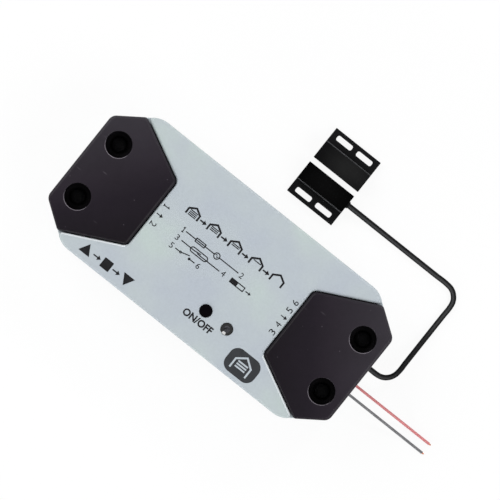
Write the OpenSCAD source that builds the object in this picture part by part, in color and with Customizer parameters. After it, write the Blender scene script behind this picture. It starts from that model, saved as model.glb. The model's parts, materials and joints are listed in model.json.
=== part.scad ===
// Garage door controller: a two-ended relay box with a wired door contact and its magnet.
// Millimetres. The box lies flat: input end at -X, output end at +X, the door contact at +Y,
// up at +Z, and the origin in the middle of the box's resting face.

/* [Case] */
// Length of the box from end face to end face
case_l = 114; // [108:1:124]
// Width of the box across its long sides
case_w = 51.2; // [48:0.4:60]
// Height of the grey cover's face above the resting face
cover_z = 31; // [29:0.5:38]
// Height of the seam between the base and what sits on it
seam_z = 15; // [13.5:0.5:17]
// Wall thickness of the base, the cover and the caps
wall = 2; // [1.6:0.1:2.4]
// Thickness of the base's floor
floor_t = 2; // [1.6:0.1:2.6]
// Thickness of the cover's roof
roof_t = 2; // [1.6:0.1:3]
// Length that each slanted corner takes from a long side
corner_run = 13; // [11:0.5:15]
// Depth that each slanted corner takes from an end face
corner_cut = 9.2; // [8:0.2:10]
// Radius where a slanted corner runs into a long side
shoulder_r = 8; // [4:0.5:8]
// Radius where a slanted corner meets an end face
end_r = 3; // [2:0.2:4]
// Radius along the lower edge of the base
foot_r = 1.2; // [0.6:0.1:1.6]
// Radius along the upper edge of the cover
brow_r = 0.8; // [0.4:0.1:1]

/* [End caps] */
// Length of each cap along the box
cap_l = 29.2; // [26:0.4:31]
// Distance from the end face to the cap's widest point
cap_shoulder = 9.1; // [8:0.1:10]
// Width of the cap's inner edge
cap_nose_w = 25.4; // [22:0.4:28]
// Height of a cap above the cover's face
cap_proud = 0.8; // [0.4:0.1:1.6]
// Radius along the upper edge of a cap
cap_round = 1; // [0.6:0.1:1.2]
// Radius of the two inner corners of a cap
cap_nose_r = 2; // [1.5:0.25:3]
// Gap between a cap and the cover
cap_gap = 0.3; // [0.2:0.05:0.5]
// Diameter of a screw well
well_d = 8.6; // [7.6:0.2:9]
// Wall thickness of a screw well
well_wall = 1; // [0.8:0.1:1.2]
// Thickness of the seat under a screw head
seat_t = 2; // [1.5:0.25:3]
// Distance from the end face to the screw wells
well_inset = 7.5; // [7.2:0.1:8.5]
// Spacing of the two wells across the box
well_span = 21; // [19:0.5:22]
// Diameter of a cap screw's shank
cap_screw_d = 2.9; // [2.5:0.1:3.1]
// Diameter of a cap screw's head
cap_screw_head_d = 5.6; // [5:0.1:6]
// Length of a cap screw under its head
cap_screw_l = 10; // [8:0.5:12]

/* [Entries and mounting] */
// Diameter of the mains cable entry in the input end
mains_entry_d = 7; // [6:0.25:7.5]
// Height of the mains cable entry
mains_entry_z = 8.5; // [8:0.25:9]
// Height of the three low-voltage entries in the output end
lead_entry_z = 6.5; // [6.3:0.1:6.7]
// Clearance around a lead in its entry
lead_clear = 0.25; // [0.15:0.05:0.4]
// Diameter of the two wall screw holes in the floor
hang_d = 4; // [3.4:0.2:4.4]
// Spacing of the two wall screw holes
hang_span = 88; // [86:0.5:90]

/* [Button and light] */
// Place of the button along the box
button_x = 4.9; // [3:0.1:6]
// Place of the button across the box
button_y = -13.5; // [-14.5:0.1:-12.5]
// Diameter of the button
button_d = 3.9; // [3.6:0.1:4.8]
// Height of the button's face above the cover
button_proud = 0.5; // [0.3:0.1:1]
// Distance that the button can be pressed
button_travel = 0.5; // [0.3:0.1:0.6]
// Clearance between the button and its guide
button_clear = 0.15; // [0.1:0.05:0.25]
// Place of the light along the box
light_x = 13.7; // [13:0.1:15]
// Place of the light across the box
light_y = -13.9; // [-14.5:0.1:-12.5]
// Diameter of the light
light_d = 3.9; // [3.6:0.1:4.6]

/* [Circuit board] */
// Length of the board
board_l = 80; // [78:0.5:81]
// Width of the board
board_w = 42; // [40:0.5:43]
// Thickness of the board
board_t = 1.6; // [1.2:0.2:2]
// Height of the posts under the board
post_h = 2.2; // [1.8:0.1:2.6]
// Diameter of the posts
post_d = 6; // [5:0.25:6.5]
// Distance from the board's edges to its screws
board_screw_inset = 3.5; // [3:0.25:4]
// Diameter of a board screw's shank
board_screw_d = 2.2; // [1.8:0.1:2.4]
// Length of a board screw under its head
board_screw_l = 4.4; // [4:0.1:5]

/* [Terminals] */
// Spacing of the two mains poles
mains_pitch = 5.08; // [5:0.04:5.4]
// Height of the mains terminal block
mains_block_h = 10; // [9:0.5:12]
// Spacing of the four low-voltage poles
lead_pitch = 3.5; // [3.4:0.1:3.8]
// Height of the low-voltage terminal block
lead_block_h = 8.6; // [8.2:0.2:10]
// Depth of both blocks along the box
block_depth = 7.5; // [7:0.25:8]

/* [Door contact and magnet] */
// Length of the contact's case and of the magnet's case
contact_l = 18; // [16.4:0.2:20]
// Width of the raised block
contact_block_w = 6.8; // [6.4:0.2:8]
// Height of the raised block
contact_block_h = 6.5; // [6:0.25:8]
// Width of the screw flange
contact_flange_w = 5; // [4.6:0.1:6]
// Thickness of the screw flange
contact_flange_t = 2.2; // [1.8:0.1:2.8]
// Wall thickness of both cases
contact_wall = 0.9; // [0.7:0.1:1.1]
// Place of both cases along the box
contact_x = 10.1; // [9:0.1:11]
// Gap between the box and the contact
contact_away = 6.9; // [6:0.1:8]
// Gap between the contact and the magnet when the door is shut
magnet_gap = 1.8; // [1.2:0.1:3]
// Width of a slot, which takes a 1.6 mm screw
slot_w = 1.8; // [1.7:0.1:2.2]
// Length of a slot from end to end
slot_l = 6; // [5.4:0.2:6.4]
// Spacing of the two slots
slot_span = 8; // [7.8:0.2:8.6]
// Distance from the flange's outer edge to the slots
slot_inset = 2.25; // [2:0.05:2.4]

/* [Leads] */
// Diameter of the contact's cable
cable_d = 1.8; // [1.7:0.1:2.1]
// Diameter of the red lead and of the black lead
lead_d = 0.9; // [0.8:0.1:1.1]
// Diameter of the cores inside the contact's cable
core_d = 0.7; // [0.5:0.1:0.8]

/* [Hidden] */
$fn = 48;
eps = 0.05;
over = 1;

// Colours by material
grey_plastic = [0.74, 0.78, 0.81];
black_plastic = [0.16, 0.15, 0.17];
steel = [0.62, 0.62, 0.64];

// Steps in a rounded corner and in a rounded edge
arc_steps = 6;
edge_steps = 3;

// Box outline, its half sizes and the two ends of a slanted corner
half_l = case_l / 2;
half_w = case_w / 2;
end_half = half_w - corner_cut;
side_half = half_l - corner_run;
cap_z = cover_z + cap_proud;
nose_x = half_l - cap_l;
nose_half = cap_nose_w / 2;
cap_wide_x = half_l - cap_shoulder;
cap_wide_y = end_half + corner_cut * cap_shoulder / corner_run;

// Heights of the board, its parts and the things that press on it
board_z = floor_t + post_h;
board_top = board_z + board_t;
switch_side = 6;
switch_h = 3.5;
stem_d = 3.4;
stem_h = 3.6;
stem_top = board_top + switch_h + stem_h;
guide_wall = 1.3;
guide_l = 7;
guide_end = cover_z - roof_t - guide_l;
flange_t = 1.2;
flange_gap = 0.2;
fit_gap = 0.1;
screw_gap = 0.05;

// Places of the wells, the board screws, the poles and the door contact
well_x = half_l - well_inset;
well_y = well_span / 2;
well_r = well_d / 2;
board_screw_x = board_l / 2 - board_screw_inset;
board_screw_y = board_w / 2 - board_screw_inset;
lead_block_y = -0.5;
lead_pole_y = [for (i = [0 : 3]) lead_block_y + (1.5 - i) * lead_pitch];
mains_pole_y = [-mains_pitch / 2, mains_pitch / 2];
pole_z = 3.6;
lead_pole_z = board_top + pole_z;
contact_w = contact_flange_w + contact_block_w;
contact_y = half_w + contact_away;
magnet_y = contact_y + contact_w + magnet_gap;
contact_lead_y = contact_y + contact_flange_w + contact_block_w / 2;
contact_lead_z = 3;
potting_gap = 0.05;

// Room between the cover's bulkheads, and the parts that stand in it and outside it
room_half = nose_x - cap_gap - wall;
part_gap = 1.5;
relay_l = 18.6;
relay_w = 15.2;
relay_h = 14.9;
relay_foot = 0.4;
relay_step = 0.7;
relay_x = room_half - part_gap - relay_l / 2;
relay_edge = 12;
relay_y = board_w / 2 - relay_edge;
core_l = 13;
core_t = 2.6;
core_h = 11;
bobbin_w = 8;
bobbin_t = 1;
winding_d = 7.4;
transformer_x = -room_half + 2 * part_gap + core_l / 2;
transformer_edge = 9;
transformer_y = -board_w / 2 + transformer_edge;
bulk_can_d = 8;
bulk_can_h = 13;
bulk_can_x = -room_half + part_gap + bulk_can_d / 2;
bulk_can_edge = 6.5;
bulk_can_y = board_w / 2 - bulk_can_edge;
out_can_d = 6.3;
out_can_h = 11;
out_can_x = relay_x - relay_l / 2 - part_gap - out_can_d / 2;
groove_z = 1.4;
groove_d = 0.4;
fuse_l = 7.4;
fuse_w = 4;
fuse_h = 7.6;
fuse_end = 6;
fuse_edge = 10;
fuse_x = -board_l / 2 + fuse_end;
fuse_y = board_w / 2 - fuse_edge;
varistor_d = 7;
varistor_t = 3.6;
varistor_lift = 0.9;
varistor_end = 12;
varistor_edge = 8.5;
varistor_x = -board_l / 2 + varistor_end;
varistor_y = -board_w / 2 + varistor_edge;
bridge_l = 5;
bridge_w = 4;
bridge_h = 2.4;
bridge_end = 14;
bridge_x = -board_l / 2 + bridge_end;
bridge_y = 1.5;
choke_d = 8;
choke_h = 8;
choke_rim = 1.2;
choke_end = 22;
choke_x = -board_l / 2 + choke_end;
choke_y = 3;
led_rim_d = 3.8;
board_screw_head_d = 4.2;
wifi_w = 12.4;
wifi_t = 0.8;
wifi_edge = 1;
wifi_shield_h = 2.3;
wifi_clear = 0.4;
wifi_x = light_x + led_rim_d / 2 + wifi_clear;
wifi_l = board_screw_x - board_screw_head_d / 2 - wifi_clear - wifi_x;
wifi_side = 7;
wifi_y = -board_w / 2 + wifi_side;

// Middle lines of the leads, laid by hand
cable_route = [[46, 4.5, 6.5], [50, 4.5, 6.5], [54, 4.5, 6.5], [57.5, 4.5, 6.5], [59.8, 4.5, 6.4],
    [61.8, 4.9, 6.2], [63.4, 6, 5.9], [64.5, 7.7, 5.5], [64.9, 9.6, 5.1], [64.9, 13, 4.2],
    [64.9, 17, 3.1], [64.9, 21, 2.1], [64.9, 25, 1.3], [64.9, 29, 1], [64.9, 32.5, 1],
    [64.9, 35.8, 1], [64.5, 37.8, 1], [63.4, 39.4, 1], [61.8, 40.5, 1], [59.8, 40.9, 1],
    [55, 40.9, 1], [50, 40.9, 1], [45, 40.9, 1], [40, 40.9, 1], [35, 40.9, 1],
    [31, 40.9, 1.1], [28, 40.9, 1.6], [25, 40.9, 2.3], [22.5, 40.9, 2.8], [20.5, 40.9, 3],
    [18.2, 40.9, 3]];
red_route = [[37, -2.3, 9.4], [40.5, -2.3, 9.4], [43, -2.3, 9], [46, -2.4, 8], [49, -2.4, 7.1],
    [52, -2.4, 6.6], [55, -2.4, 6.5], [58, -2.4, 6.5], [61, -2.4, 6.2], [64, -2.4, 5.5],
    [67, -2.4, 4.5], [70, -2.4, 3.4], [73, -2.4, 2.3], [76, -2.4, 1.4], [79, -2.4, 0.7],
    [82, -2.4, 0.5], [86.9, -2.4, 0.5]];
black_route = [[37, -5.8, 9.4], [40.5, -5.8, 9.4], [43, -5.8, 9], [46, -5.9, 8], [49, -6, 7.1],
    [52, -6, 6.6], [55, -6, 6.5], [58, -6, 6.5], [61, -6, 6.2], [64, -6, 5.5],
    [67, -6, 4.5], [70, -6, 3.4], [73, -6, 2.3], [76, -6, 1.4], [79, -6, 0.7],
    [82, -6, 0.5], [86.9, -6, 0.5]];
core_grip = 3;
core_apart = 0.5;
core_start = board_l / 2 - core_grip;
core_out = board_l / 2 + 0.3;
sheath_end = cable_route[0];
core_routes = [for (i = [0, 1])
    let (y = lead_pole_y[i], y_end = sheath_end[1] + (i == 0 ? core_apart : -core_apart))
    [[core_start, y, lead_pole_z], [core_out, y, lead_pole_z - 0.1],
        [(core_out + sheath_end[0]) / 2, (y + y_end) / 2, (lead_pole_z + sheath_end[2]) / 2],
        [sheath_end[0] - over, y_end, sheath_end[2]], [sheath_end[0], y_end, sheath_end[2]]]];
cable_entry_y = 4.5;
red_entry_y = -2.4;
black_entry_y = -6;

// Plan corners, counter-clockwise
case_corners = [[half_l, -end_half], [half_l, end_half], [side_half, half_w], [-side_half, half_w],
    [-half_l, end_half], [-half_l, -end_half], [-side_half, -half_w], [side_half, -half_w]];
case_radii = [end_r, end_r, shoulder_r, shoulder_r, end_r, end_r, shoulder_r, shoulder_r];
cap_corners = [[half_l, -end_half], [half_l, end_half], [cap_wide_x, cap_wide_y],
    [nose_x, nose_half], [nose_x, -nose_half], [cap_wide_x, -cap_wide_y]];
cap_radii = [end_r, end_r, cap_round + 0.3, cap_nose_r, cap_nose_r, cap_round + 0.3];
bite = inset(cap_corners, -cap_gap);
bite_in = bite[3];
bite_out = meet(bite_in, bite[2] - bite[3], case_corners[1], case_corners[2] - case_corners[1]);
cover_corners = [bite_out, [side_half, half_w], [-side_half, half_w], mirror_x(bite_out),
    mirror_x(bite_in), -bite_in, -bite_out, [-side_half, -half_w], [side_half, -half_w],
    mirror_y(bite_out), mirror_y(bite_in), bite_in];
cover_tip_r = brow_r + 0.3;
cover_nose_r = cap_nose_r + cap_gap;
cover_radii = [cover_tip_r, shoulder_r, shoulder_r, cover_tip_r, cover_nose_r, cover_nose_r,
    cover_tip_r, shoulder_r, shoulder_r, cover_tip_r, cover_nose_r, cover_nose_r];
cave_x = side_half - 2;
cave_y = half_w - wall;
cave_in = inset(cover_corners, wall)[11];
cave_out = meet(cave_in, bite[2] - bite[3], [cave_x, 0], [0, 1]);
cave_corners = [cave_out, [cave_x, cave_y], [-cave_x, cave_y], mirror_x(cave_out), mirror_x(cave_in),
    -cave_in, -cave_out, [-cave_x, -cave_y], [cave_x, -cave_y], mirror_y(cave_out), mirror_y(cave_in),
    cave_in];
cave_r = 0.6;
cave_nose_r = cover_nose_r + wall;
cave_radii = [cave_r, cave_r, cave_r, cave_r, cave_nose_r, cave_nose_r,
    cave_r, cave_r, cave_r, cave_r, cave_nose_r, cave_nose_r];

function mirror_x(p) = [-p[0], p[1]];
function mirror_y(p) = [p[0], -p[1]];
function unit(v) = v / norm(v);
function left_of(v) = [-v[1], v[0]];
function cross2(a, b) = a[0] * b[1] - a[1] * b[0];
function turned(v, a) = [v[0] * cos(a) - v[1] * sin(a), v[0] * sin(a) + v[1] * cos(a)];
function before(list, i) = list[(i + len(list) - 1) % len(list)];
function after(list, i) = list[(i + 1) % len(list)];
function meet(p, d, q, e) = p + d * cross2(q - p, e) / cross2(d, e);

// Outline moved inwards by d, or outwards where d is negative
function inset(pts, d) = [for (i = [0 : len(pts) - 1])
    let (a = left_of(unit(pts[i] - before(pts, i))), b = left_of(unit(after(pts, i) - pts[i])))
    pts[i] + d * (a + b) / (1 + a * b)];

// Angle that the outline turns by at a corner, positive where the corner sticks out
function turn_at(pts, i) =
    let (a = pts[i] - before(pts, i), b = after(pts, i) - pts[i])
    atan2(cross2(a, b), a * b);

// Points of one rounded corner
function corner_arc(pts, i, r) =
    let (t = turn_at(pts, i), d = unit(pts[i] - before(pts, i)),
        first = pts[i] - d * r * tan(abs(t) / 2), c = first + sign(t) * r * left_of(d))
    [for (k = [0 : arc_steps]) c - sign(t) * r * left_of(turned(d, t * k / arc_steps))];

// Rounded outline, moved inwards by d with its radii kept parallel
function outline(pts, radii, d) =
    let (moved = inset(pts, d))
    [for (i = [0 : len(pts) - 1])
        each corner_arc(moved, i, max(0.1, radii[i] - sign(turn_at(pts, i)) * d))];

function at_height(pts, z) = [for (p = pts) [p[0], p[1], z]];

// Rings of a body with a rounded lower edge or a rounded upper edge
function foot_rings(pts, radii, z, r) = [for (k = [0 : edge_steps])
    let (a = 90 * k / edge_steps)
    at_height(outline(pts, radii, r * (1 - sin(a))), z + r * (1 - cos(a)))];
function brow_rings(pts, radii, z, r) = [for (k = [0 : edge_steps])
    let (a = 90 * k / edge_steps)
    at_height(outline(pts, radii, r * (1 - cos(a))), z - r * (1 - sin(a)))];

// Rings of a lead along its route
function route_ring(route, i, r, sides) =
    let (n = len(route), d = unit(route[min(i + 1, n - 1)] - route[max(i - 1, 0)]),
        u = unit(cross([0, 0, 1], d)), w = cross(d, u))
    [for (k = [0 : sides - 1]) route[i] + r * (cos(360 * k / sides) * u + sin(360 * k / sides) * w)];

// Solid through a stack of rings
module loft(rings) {
    n = len(rings[0]);
    m = len(rings);
    side_faces = [for (j = [0 : m - 2], i = [0 : n - 1])
        each [[j * n + i, (j + 1) * n + i, (j + 1) * n + (i + 1) % n],
            [j * n + i, (j + 1) * n + (i + 1) % n, j * n + (i + 1) % n]]];
    lower_face = [for (i = [0 : n - 1]) i];
    upper_face = [for (i = [n - 1 : -1 : 0]) (m - 1) * n + i];
    polyhedron(points = [for (r = rings) each r],
        faces = concat([lower_face], side_faces, [upper_face]));
}

module lead(route, d) {
    loft([for (i = [0 : len(route) - 1]) route_ring(route, i, d / 2, 8)]);
}

module plate(pts, radii, d, z, h) {
    translate([0, 0, z])
        linear_extrude(h)
            polygon(outline(pts, radii, d));
}

module block(size, at) {
    translate([at[0] - size[0] / 2, at[1] - size[1] / 2, at[2]])
        cube(size);
}

module rod(d, h, at) {
    translate(at)
        cylinder(d = d, h = h);
}

module rod_x(d, h, at) {
    translate(at)
        rotate([0, 90, 0])
            cylinder(d = d, h = h);
}

module four_corners(x, y) {
    for (i = [-1, 1], j = [-1, 1])
        translate([i * x, j * y, 0])
            children();
}

// Snap tongues of the base and the pockets they click into
tongue_x = 21;
tongue_l = 12;
tongue_t = 1.2;
tongue_h = 4;
tongue_root = 4;
tongue_gap = 0.2;
catch_d = 0.7;
catch_h = 1.2;
catch_z = seam_z + 2;
tongue_y = half_w - wall - tongue_gap - tongue_t;

// Lower shell with floor, walls, screw posts, entries and snap tongues
module base_shell() {
    color(grey_plastic)
    difference() {
        union() {
            difference() {
                loft(concat(foot_rings(case_corners, case_radii, 0, foot_r),
                    [at_height(outline(case_corners, case_radii, 0), seam_z)]));
                plate(case_corners, case_radii, wall, floor_t, seam_z);
            }
            four_corners(well_x, well_y)
                rod(boss_d, seam_z - floor_t + eps, [0, 0, floor_t - eps]);
            four_corners(board_screw_x, board_screw_y)
                rod(post_d, post_h + eps, [0, 0, floor_t - eps]);
            for (i = [-1, 1], s = [0, 180])
                rotate([0, 0, s])
                    snap_tongue(i * tongue_x);
            for (i = [-1, 1])
                rod(hang_pad_d, hang_pad_h + eps, [i * hang_span / 2, 0, floor_t - eps]);
        }
        four_corners(well_x, well_y)
            rod(cap_screw_d + 2 * screw_gap, seam_z, [0, 0, seam_z + seat_t - cap_screw_l - over]);
        four_corners(board_screw_x, board_screw_y)
            rod(board_screw_d + 2 * screw_gap, board_z, [0, 0, board_top - board_screw_l - 0.2]);
        for (i = [-1, 1])
            rod(hang_d, floor_t + hang_pad_h + 2 * over, [i * hang_span / 2, 0, -over]);
        rod_x(mains_entry_d, wall + 2 * over, [-half_l - over, 0, mains_entry_z]);
        output_wall_hole(cable_d, cable_entry_y);
        output_wall_hole(lead_d, red_entry_y);
        output_wall_hole(lead_d, black_entry_y);
    }
}

module output_wall_hole(d, y) {
    rod_x(d + 2 * lead_clear, wall + 2 * over, [half_l - wall - over, y, lead_entry_z]);
}

boss_d = 7;
hang_pad_d = 8;
hang_pad_h = 0.6;

module snap_tongue(x) {
    translate([x - tongue_l / 2, tongue_y, seam_z - tongue_root]) {
        cube([tongue_l, tongue_t, tongue_root + tongue_h]);
        cube([tongue_l, tongue_t + tongue_gap + eps, tongue_root]);
    }
    block([tongue_l - 4, catch_d + eps, catch_h],
        [x, tongue_y + tongue_t + catch_d / 2 - eps / 2, catch_z]);
}

// Grey cover with its side walls, bulkheads, button guide and light socket
module top_cover() {
    color(grey_plastic)
    difference() {
        union() {
            difference() {
                loft(concat([at_height(outline(cover_corners, cover_radii, 0), seam_z)],
                    brow_rings(cover_corners, cover_radii, cover_z, brow_r)));
                plate(cave_corners, cave_radii, 0, seam_z - over, cover_z - roof_t - seam_z + over);
            }
            rod(button_bore + 2 * guide_wall, guide_l + eps, [button_x, button_y, guide_end]);
            rod(light_bore + 2 * guide_wall, guide_l + eps, [light_x, light_y, guide_end]);
            for (i = [-1, 1])
                block([rib_t, case_w - 2 * wall + 2 * eps, rib_h + eps],
                    [i * rib_x, 0, cover_z - roof_t - rib_h]);
        }
        rod(button_bore, guide_l + roof_t + 2 * over, [button_x, button_y, guide_end - over]);
        rod(light_bore, guide_l + roof_t + 2 * over, [light_x, light_y, guide_end - over]);
        for (i = [-1, 1], j = [-1, 1])
            block([tongue_l - 3, 2 * pocket_d, catch_h + 2 * pocket_clear],
                [i * tongue_x, j * (half_w - wall), catch_z - pocket_clear]);
    }
}

button_bore = button_d + 2 * button_clear;
light_bore = light_d + 2 * fit_gap;
rib_x = 24;
rib_t = 1.4;
rib_h = 2.5;
pocket_clear = 0.2;
pocket_d = catch_d - tongue_gap + 0.2;

// Black cap over a terminal bay, drawn for the output end
module end_cap() {
    color(black_plastic)
    difference() {
        union() {
            difference() {
                loft(concat([at_height(outline(cap_corners, cap_radii, 0), seam_z)],
                    brow_rings(cap_corners, cap_radii, cap_z, cap_round)));
                plate(cap_corners, cap_radii, wall, seam_z - over, cap_z - wall - seam_z + over);
            }
            for (j = [-1, 1])
                rod(well_d + 2 * well_wall, cap_z - seam_z - wall + eps, [well_x, j * well_y, seam_z]);
            block([tab_t, tab_w, tab_l + tab_root],
                [half_l - wall - tab_gap - tab_t / 2, 0, seam_z - tab_l]);
            block([tab_gap + eps + tab_t, tab_w, tab_root],
                [half_l - wall + eps - (tab_gap + eps + tab_t) / 2, 0, seam_z]);
        }
        for (j = [-1, 1]) {
            rod(well_d, cap_z, [well_x, j * well_y, seam_z + seat_t]);
            rod(cap_screw_d + 2 * fit_gap, seat_t + 2 * over, [well_x, j * well_y, seam_z - over]);
        }
    }
}

tab_t = 1.4;
tab_w = 9;
tab_l = 2;
tab_root = 3;
tab_gap = 0.2;

module input_end_cap() {
    rotate([0, 0, 180])
        end_cap();
}

module output_end_cap() {
    end_cap();
}

// Pan-head screw with a cross recess, its head seated at z = 0
module cross_screw(d, head_d, head_h, l, cross_w) {
    difference() {
        union() {
            rod(d, l + eps, [0, 0, -l]);
            rotate_extrude()
                polygon([[0, 0], [head_d / 2, 0], [head_d / 2, head_h * 0.5],
                    [head_d * 0.38, head_h * 0.88], [head_d * 0.2, head_h], [0, head_h]]);
        }
        for (a = [0, 90])
            rotate([0, 0, a])
                block([head_d * 0.6, cross_w, head_h], [0, 0, head_h * 0.35]);
    }
}

module end_cap_screws() {
    color([0.2, 0.2, 0.21])
    four_corners(well_x, well_y)
        translate([0, 0, seam_z + seat_t])
            cross_screw(cap_screw_d, cap_screw_head_d, cap_head_h, cap_screw_l, cap_cross_w);
}

cap_head_h = 2.2;
cap_cross_w = 0.9;

module board_screws() {
    color(steel)
    four_corners(board_screw_x, board_screw_y)
        translate([0, 0, board_top])
            cross_screw(board_screw_d, board_screw_head_d, board_head_h, board_screw_l, board_cross_w);
}

board_head_h = 1.5;
board_cross_w = 0.7;

// Push button with its long stalk and the flange that keeps it in
module on_off_button() {
    face_z = cover_z + button_proud;
    flange_z = guide_end - flange_gap - flange_t;
    flange_d = button_bore + 2 * guide_wall - 0.4;
    color(black_plastic)
    translate([button_x, button_y, 0])
        rotate_extrude()
            polygon([[0, stem_top], [button_d / 2, stem_top], [button_d / 2, flange_z],
                [flange_d / 2, flange_z], [flange_d / 2, flange_z + flange_t],
                [button_d / 2, flange_z + flange_t], [button_d / 2, face_z - button_edge],
                [button_d / 2 - button_edge, face_z], [0, face_z]]);
}

button_edge = 0.3;

module tact_switch_body() {
    stem_foot = board_top + switch_h - stem_seat;
    color([0.15, 0.15, 0.16])
    difference() {
        union() {
            block([switch_side, switch_side, switch_h], [button_x, button_y, board_top]);
            for (i = [-1, 1])
                block([switch_side + 2 * switch_leg_l, switch_leg_w, switch_leg_t],
                    [button_x, button_y + i * switch_side / 3, board_top]);
        }
        rod(stem_d + 2 * fit_gap, switch_h,
            [button_x, button_y, stem_foot - button_travel - 2 * fit_gap]);
    }
}

stem_seat = 1.2;
switch_leg_l = 1;
switch_leg_w = 0.8;
switch_leg_t = 0.4;

module tact_switch_stem() {
    color([0.85, 0.82, 0.72])
    rod(stem_d, stem_h + stem_seat, [button_x, button_y, board_top + switch_h - stem_seat]);
}

// Clear rod that carries the indicator's light to the cover, with a bevelled head
module light_pipe() {
    foot_z = board_top + led_h + led_gap;
    r = light_d / 2;
    bevel_z = cover_z - head_sunk;
    flat_z = bevel_z + head_bevel * tan(head_tilt);
    color([0.5, 0.55, 0.6])
    translate([light_x, light_y, 0])
        rotate_extrude()
            polygon([[0, foot_z], [r, foot_z], [r, bevel_z], [r - head_bevel, flat_z],
                [(r - head_bevel) / 2, flat_z + 2 * head_crown / 3], [0, flat_z + head_crown]]);
}

head_sunk = 0.1;
head_bevel = 0.85;
head_tilt = 34.6;
head_crown = 0.15;
led_h = 4.6;
led_gap = 0.2;
led_rim_h = 0.9;
led_d = 3;

module status_led() {
    r = led_d / 2;
    color([0.8, 0.9, 0.85])
    translate([light_x, light_y, board_top])
        rotate_extrude()
            polygon(concat([[0, 0], [led_rim_d / 2, 0], [led_rim_d / 2, led_rim_h], [r, led_rim_h]],
                [for (k = [0 : 6]) [r * cos(15 * k), led_h - r + r * sin(15 * k)]]));
}

// Board with its screw holes and the slot that parts mains from low voltage
module circuit_board() {
    color([0.1, 0.35, 0.2])
    difference() {
        block([board_l, board_w, board_t], [0, 0, board_z]);
        four_corners(board_screw_x, board_screw_y)
            rod(board_screw_d + 0.6, board_t + 2 * over, [0, 0, board_z - over]);
        block([barrier_w, barrier_l, board_t + 2 * over], [barrier_x, barrier_y, board_z - over]);
    }
}

barrier_w = 1.2;
barrier_l = 22;
barrier_x = -5.7;
barrier_y = 7;

// Terminal block standing on the board, its wire side towards +X
module terminal_block(poles, pitch, h, screw_d) {
    w = len(poles) * pitch + 0.6;
    mid = (poles[0] + poles[len(poles) - 1]) / 2;
    difference() {
        translate([0, mid + w / 2, 0])
            rotate([90, 0, 0])
                linear_extrude(w)
                    polygon([[-block_depth, 0], [0, 0], [0, h - 1.2], [-1, h],
                        [-block_depth + 1.6, h], [-block_depth, h - 2.4]]);
        for (y = poles) {
            block([block_depth, pitch - pole_wall, pole_h], [0, y, pole_z - pole_h / 2]);
            rod(screw_d + 2 * fit_gap, h, [clamp_x, y, pole_z]);
        }
    }
}

// Slotted clamp screws of a terminal block
module clamp_screws(poles, h, screw_d) {
    for (y = poles)
        translate([clamp_x, y, 0])
            difference() {
                rod(screw_d, h - pole_z - clamp_lift - clamp_sunk, [0, 0, pole_z + clamp_lift]);
                block([screw_d + over, clamp_slot_w, over], [0, 0, h - clamp_sunk - clamp_slot_h]);
            }
}

mains_screw_d = 3.2;
lead_screw_d = 2;
pole_wall = 1.2;
pole_h = 2.4;
clamp_x = -block_depth / 2 + 0.4;
clamp_lift = 0.8;
clamp_sunk = 0.5;
clamp_slot_w = 0.5;
clamp_slot_h = 0.8;

module input_side() {
    translate([-board_l / 2, 0, board_top])
        rotate([0, 0, 180])
            children();
}

module output_side() {
    translate([board_l / 2, 0, board_top])
        children();
}

module input_terminal_block() {
    color([0.15, 0.45, 0.3])
    input_side()
        terminal_block(mains_pole_y, mains_pitch, mains_block_h, mains_screw_d);
}

module input_terminal_screws() {
    color(steel)
    input_side()
        clamp_screws(mains_pole_y, mains_block_h, mains_screw_d);
}

module output_terminal_block() {
    color([0.15, 0.45, 0.3])
    output_side()
        terminal_block(lead_pole_y, lead_pitch, lead_block_h, lead_screw_d);
}

module output_terminal_screws() {
    color(steel)
    output_side()
        clamp_screws(lead_pole_y, lead_block_h, lead_screw_d);
}

// Parts that stand on the board
module relay() {
    color([0.15, 0.3, 0.65])
    union() {
        block([relay_l, relay_w, relay_h], [relay_x, relay_y, board_top + relay_foot]);
        block([relay_l - 2 * relay_step, relay_w - 2 * relay_step, relay_foot + eps],
            [relay_x, relay_y, board_top]);
    }
}

module transformer_core() {
    color([0.22, 0.22, 0.23])
    for (j = [-1, 1])
        block([core_l, core_t, core_h],
            [transformer_x, transformer_y + j * (bobbin_w + core_t) / 2, board_top + bobbin_t]);
}

module transformer_winding() {
    color([0.85, 0.7, 0.2])
    translate([transformer_x, transformer_y, board_top]) {
        block([core_l, bobbin_w, bobbin_t], [0, 0, 0]);
        rod(winding_d, core_h - bobbin_t + 2 * eps, [0, 0, bobbin_t - eps]);
        block([core_l, bobbin_w, bobbin_t], [0, 0, core_h]);
    }
}

// Can with a rolled groove near its foot
module can(d, h) {
    rotate_extrude()
        polygon([[0, 0], [d / 2, 0], [d / 2, groove_z - groove_d], [d / 2 - groove_d, groove_z],
            [d / 2, groove_z + groove_d], [d / 2, h - groove_d], [d / 2 - groove_d, h], [0, h]]);
}

module bulk_capacitors() {
    color([0.12, 0.13, 0.2])
    for (i = [0, 1])
        translate([bulk_can_x + i * (bulk_can_d + part_gap / 2), bulk_can_y, board_top])
            can(bulk_can_d, bulk_can_h);
}

module output_capacitor() {
    color([0.12, 0.13, 0.2])
    translate([out_can_x, relay_y, board_top])
        can(out_can_d, out_can_h);
}

module fuse() {
    color([0.5, 0.2, 0.15])
    block([fuse_l, fuse_w, fuse_h], [fuse_x, fuse_y, board_top]);
}

module varistor() {
    color([0.15, 0.35, 0.6])
    union() {
        rod_x(varistor_d, varistor_t,
            [varistor_x - varistor_t / 2, varistor_y, board_top + varistor_lift + varistor_d / 2]);
        block([varistor_t / 3, varistor_d / 2, 2 * varistor_lift], [varistor_x, varistor_y, board_top]);
    }
}

module bridge_rectifier() {
    color([0.14, 0.14, 0.15])
    union() {
        block([bridge_l, bridge_w, bridge_h], [bridge_x, bridge_y, board_top]);
        block([0.7 * bridge_l, 1.6 * bridge_w, bridge_h / 6], [bridge_x, bridge_y, board_top]);
    }
}

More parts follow.
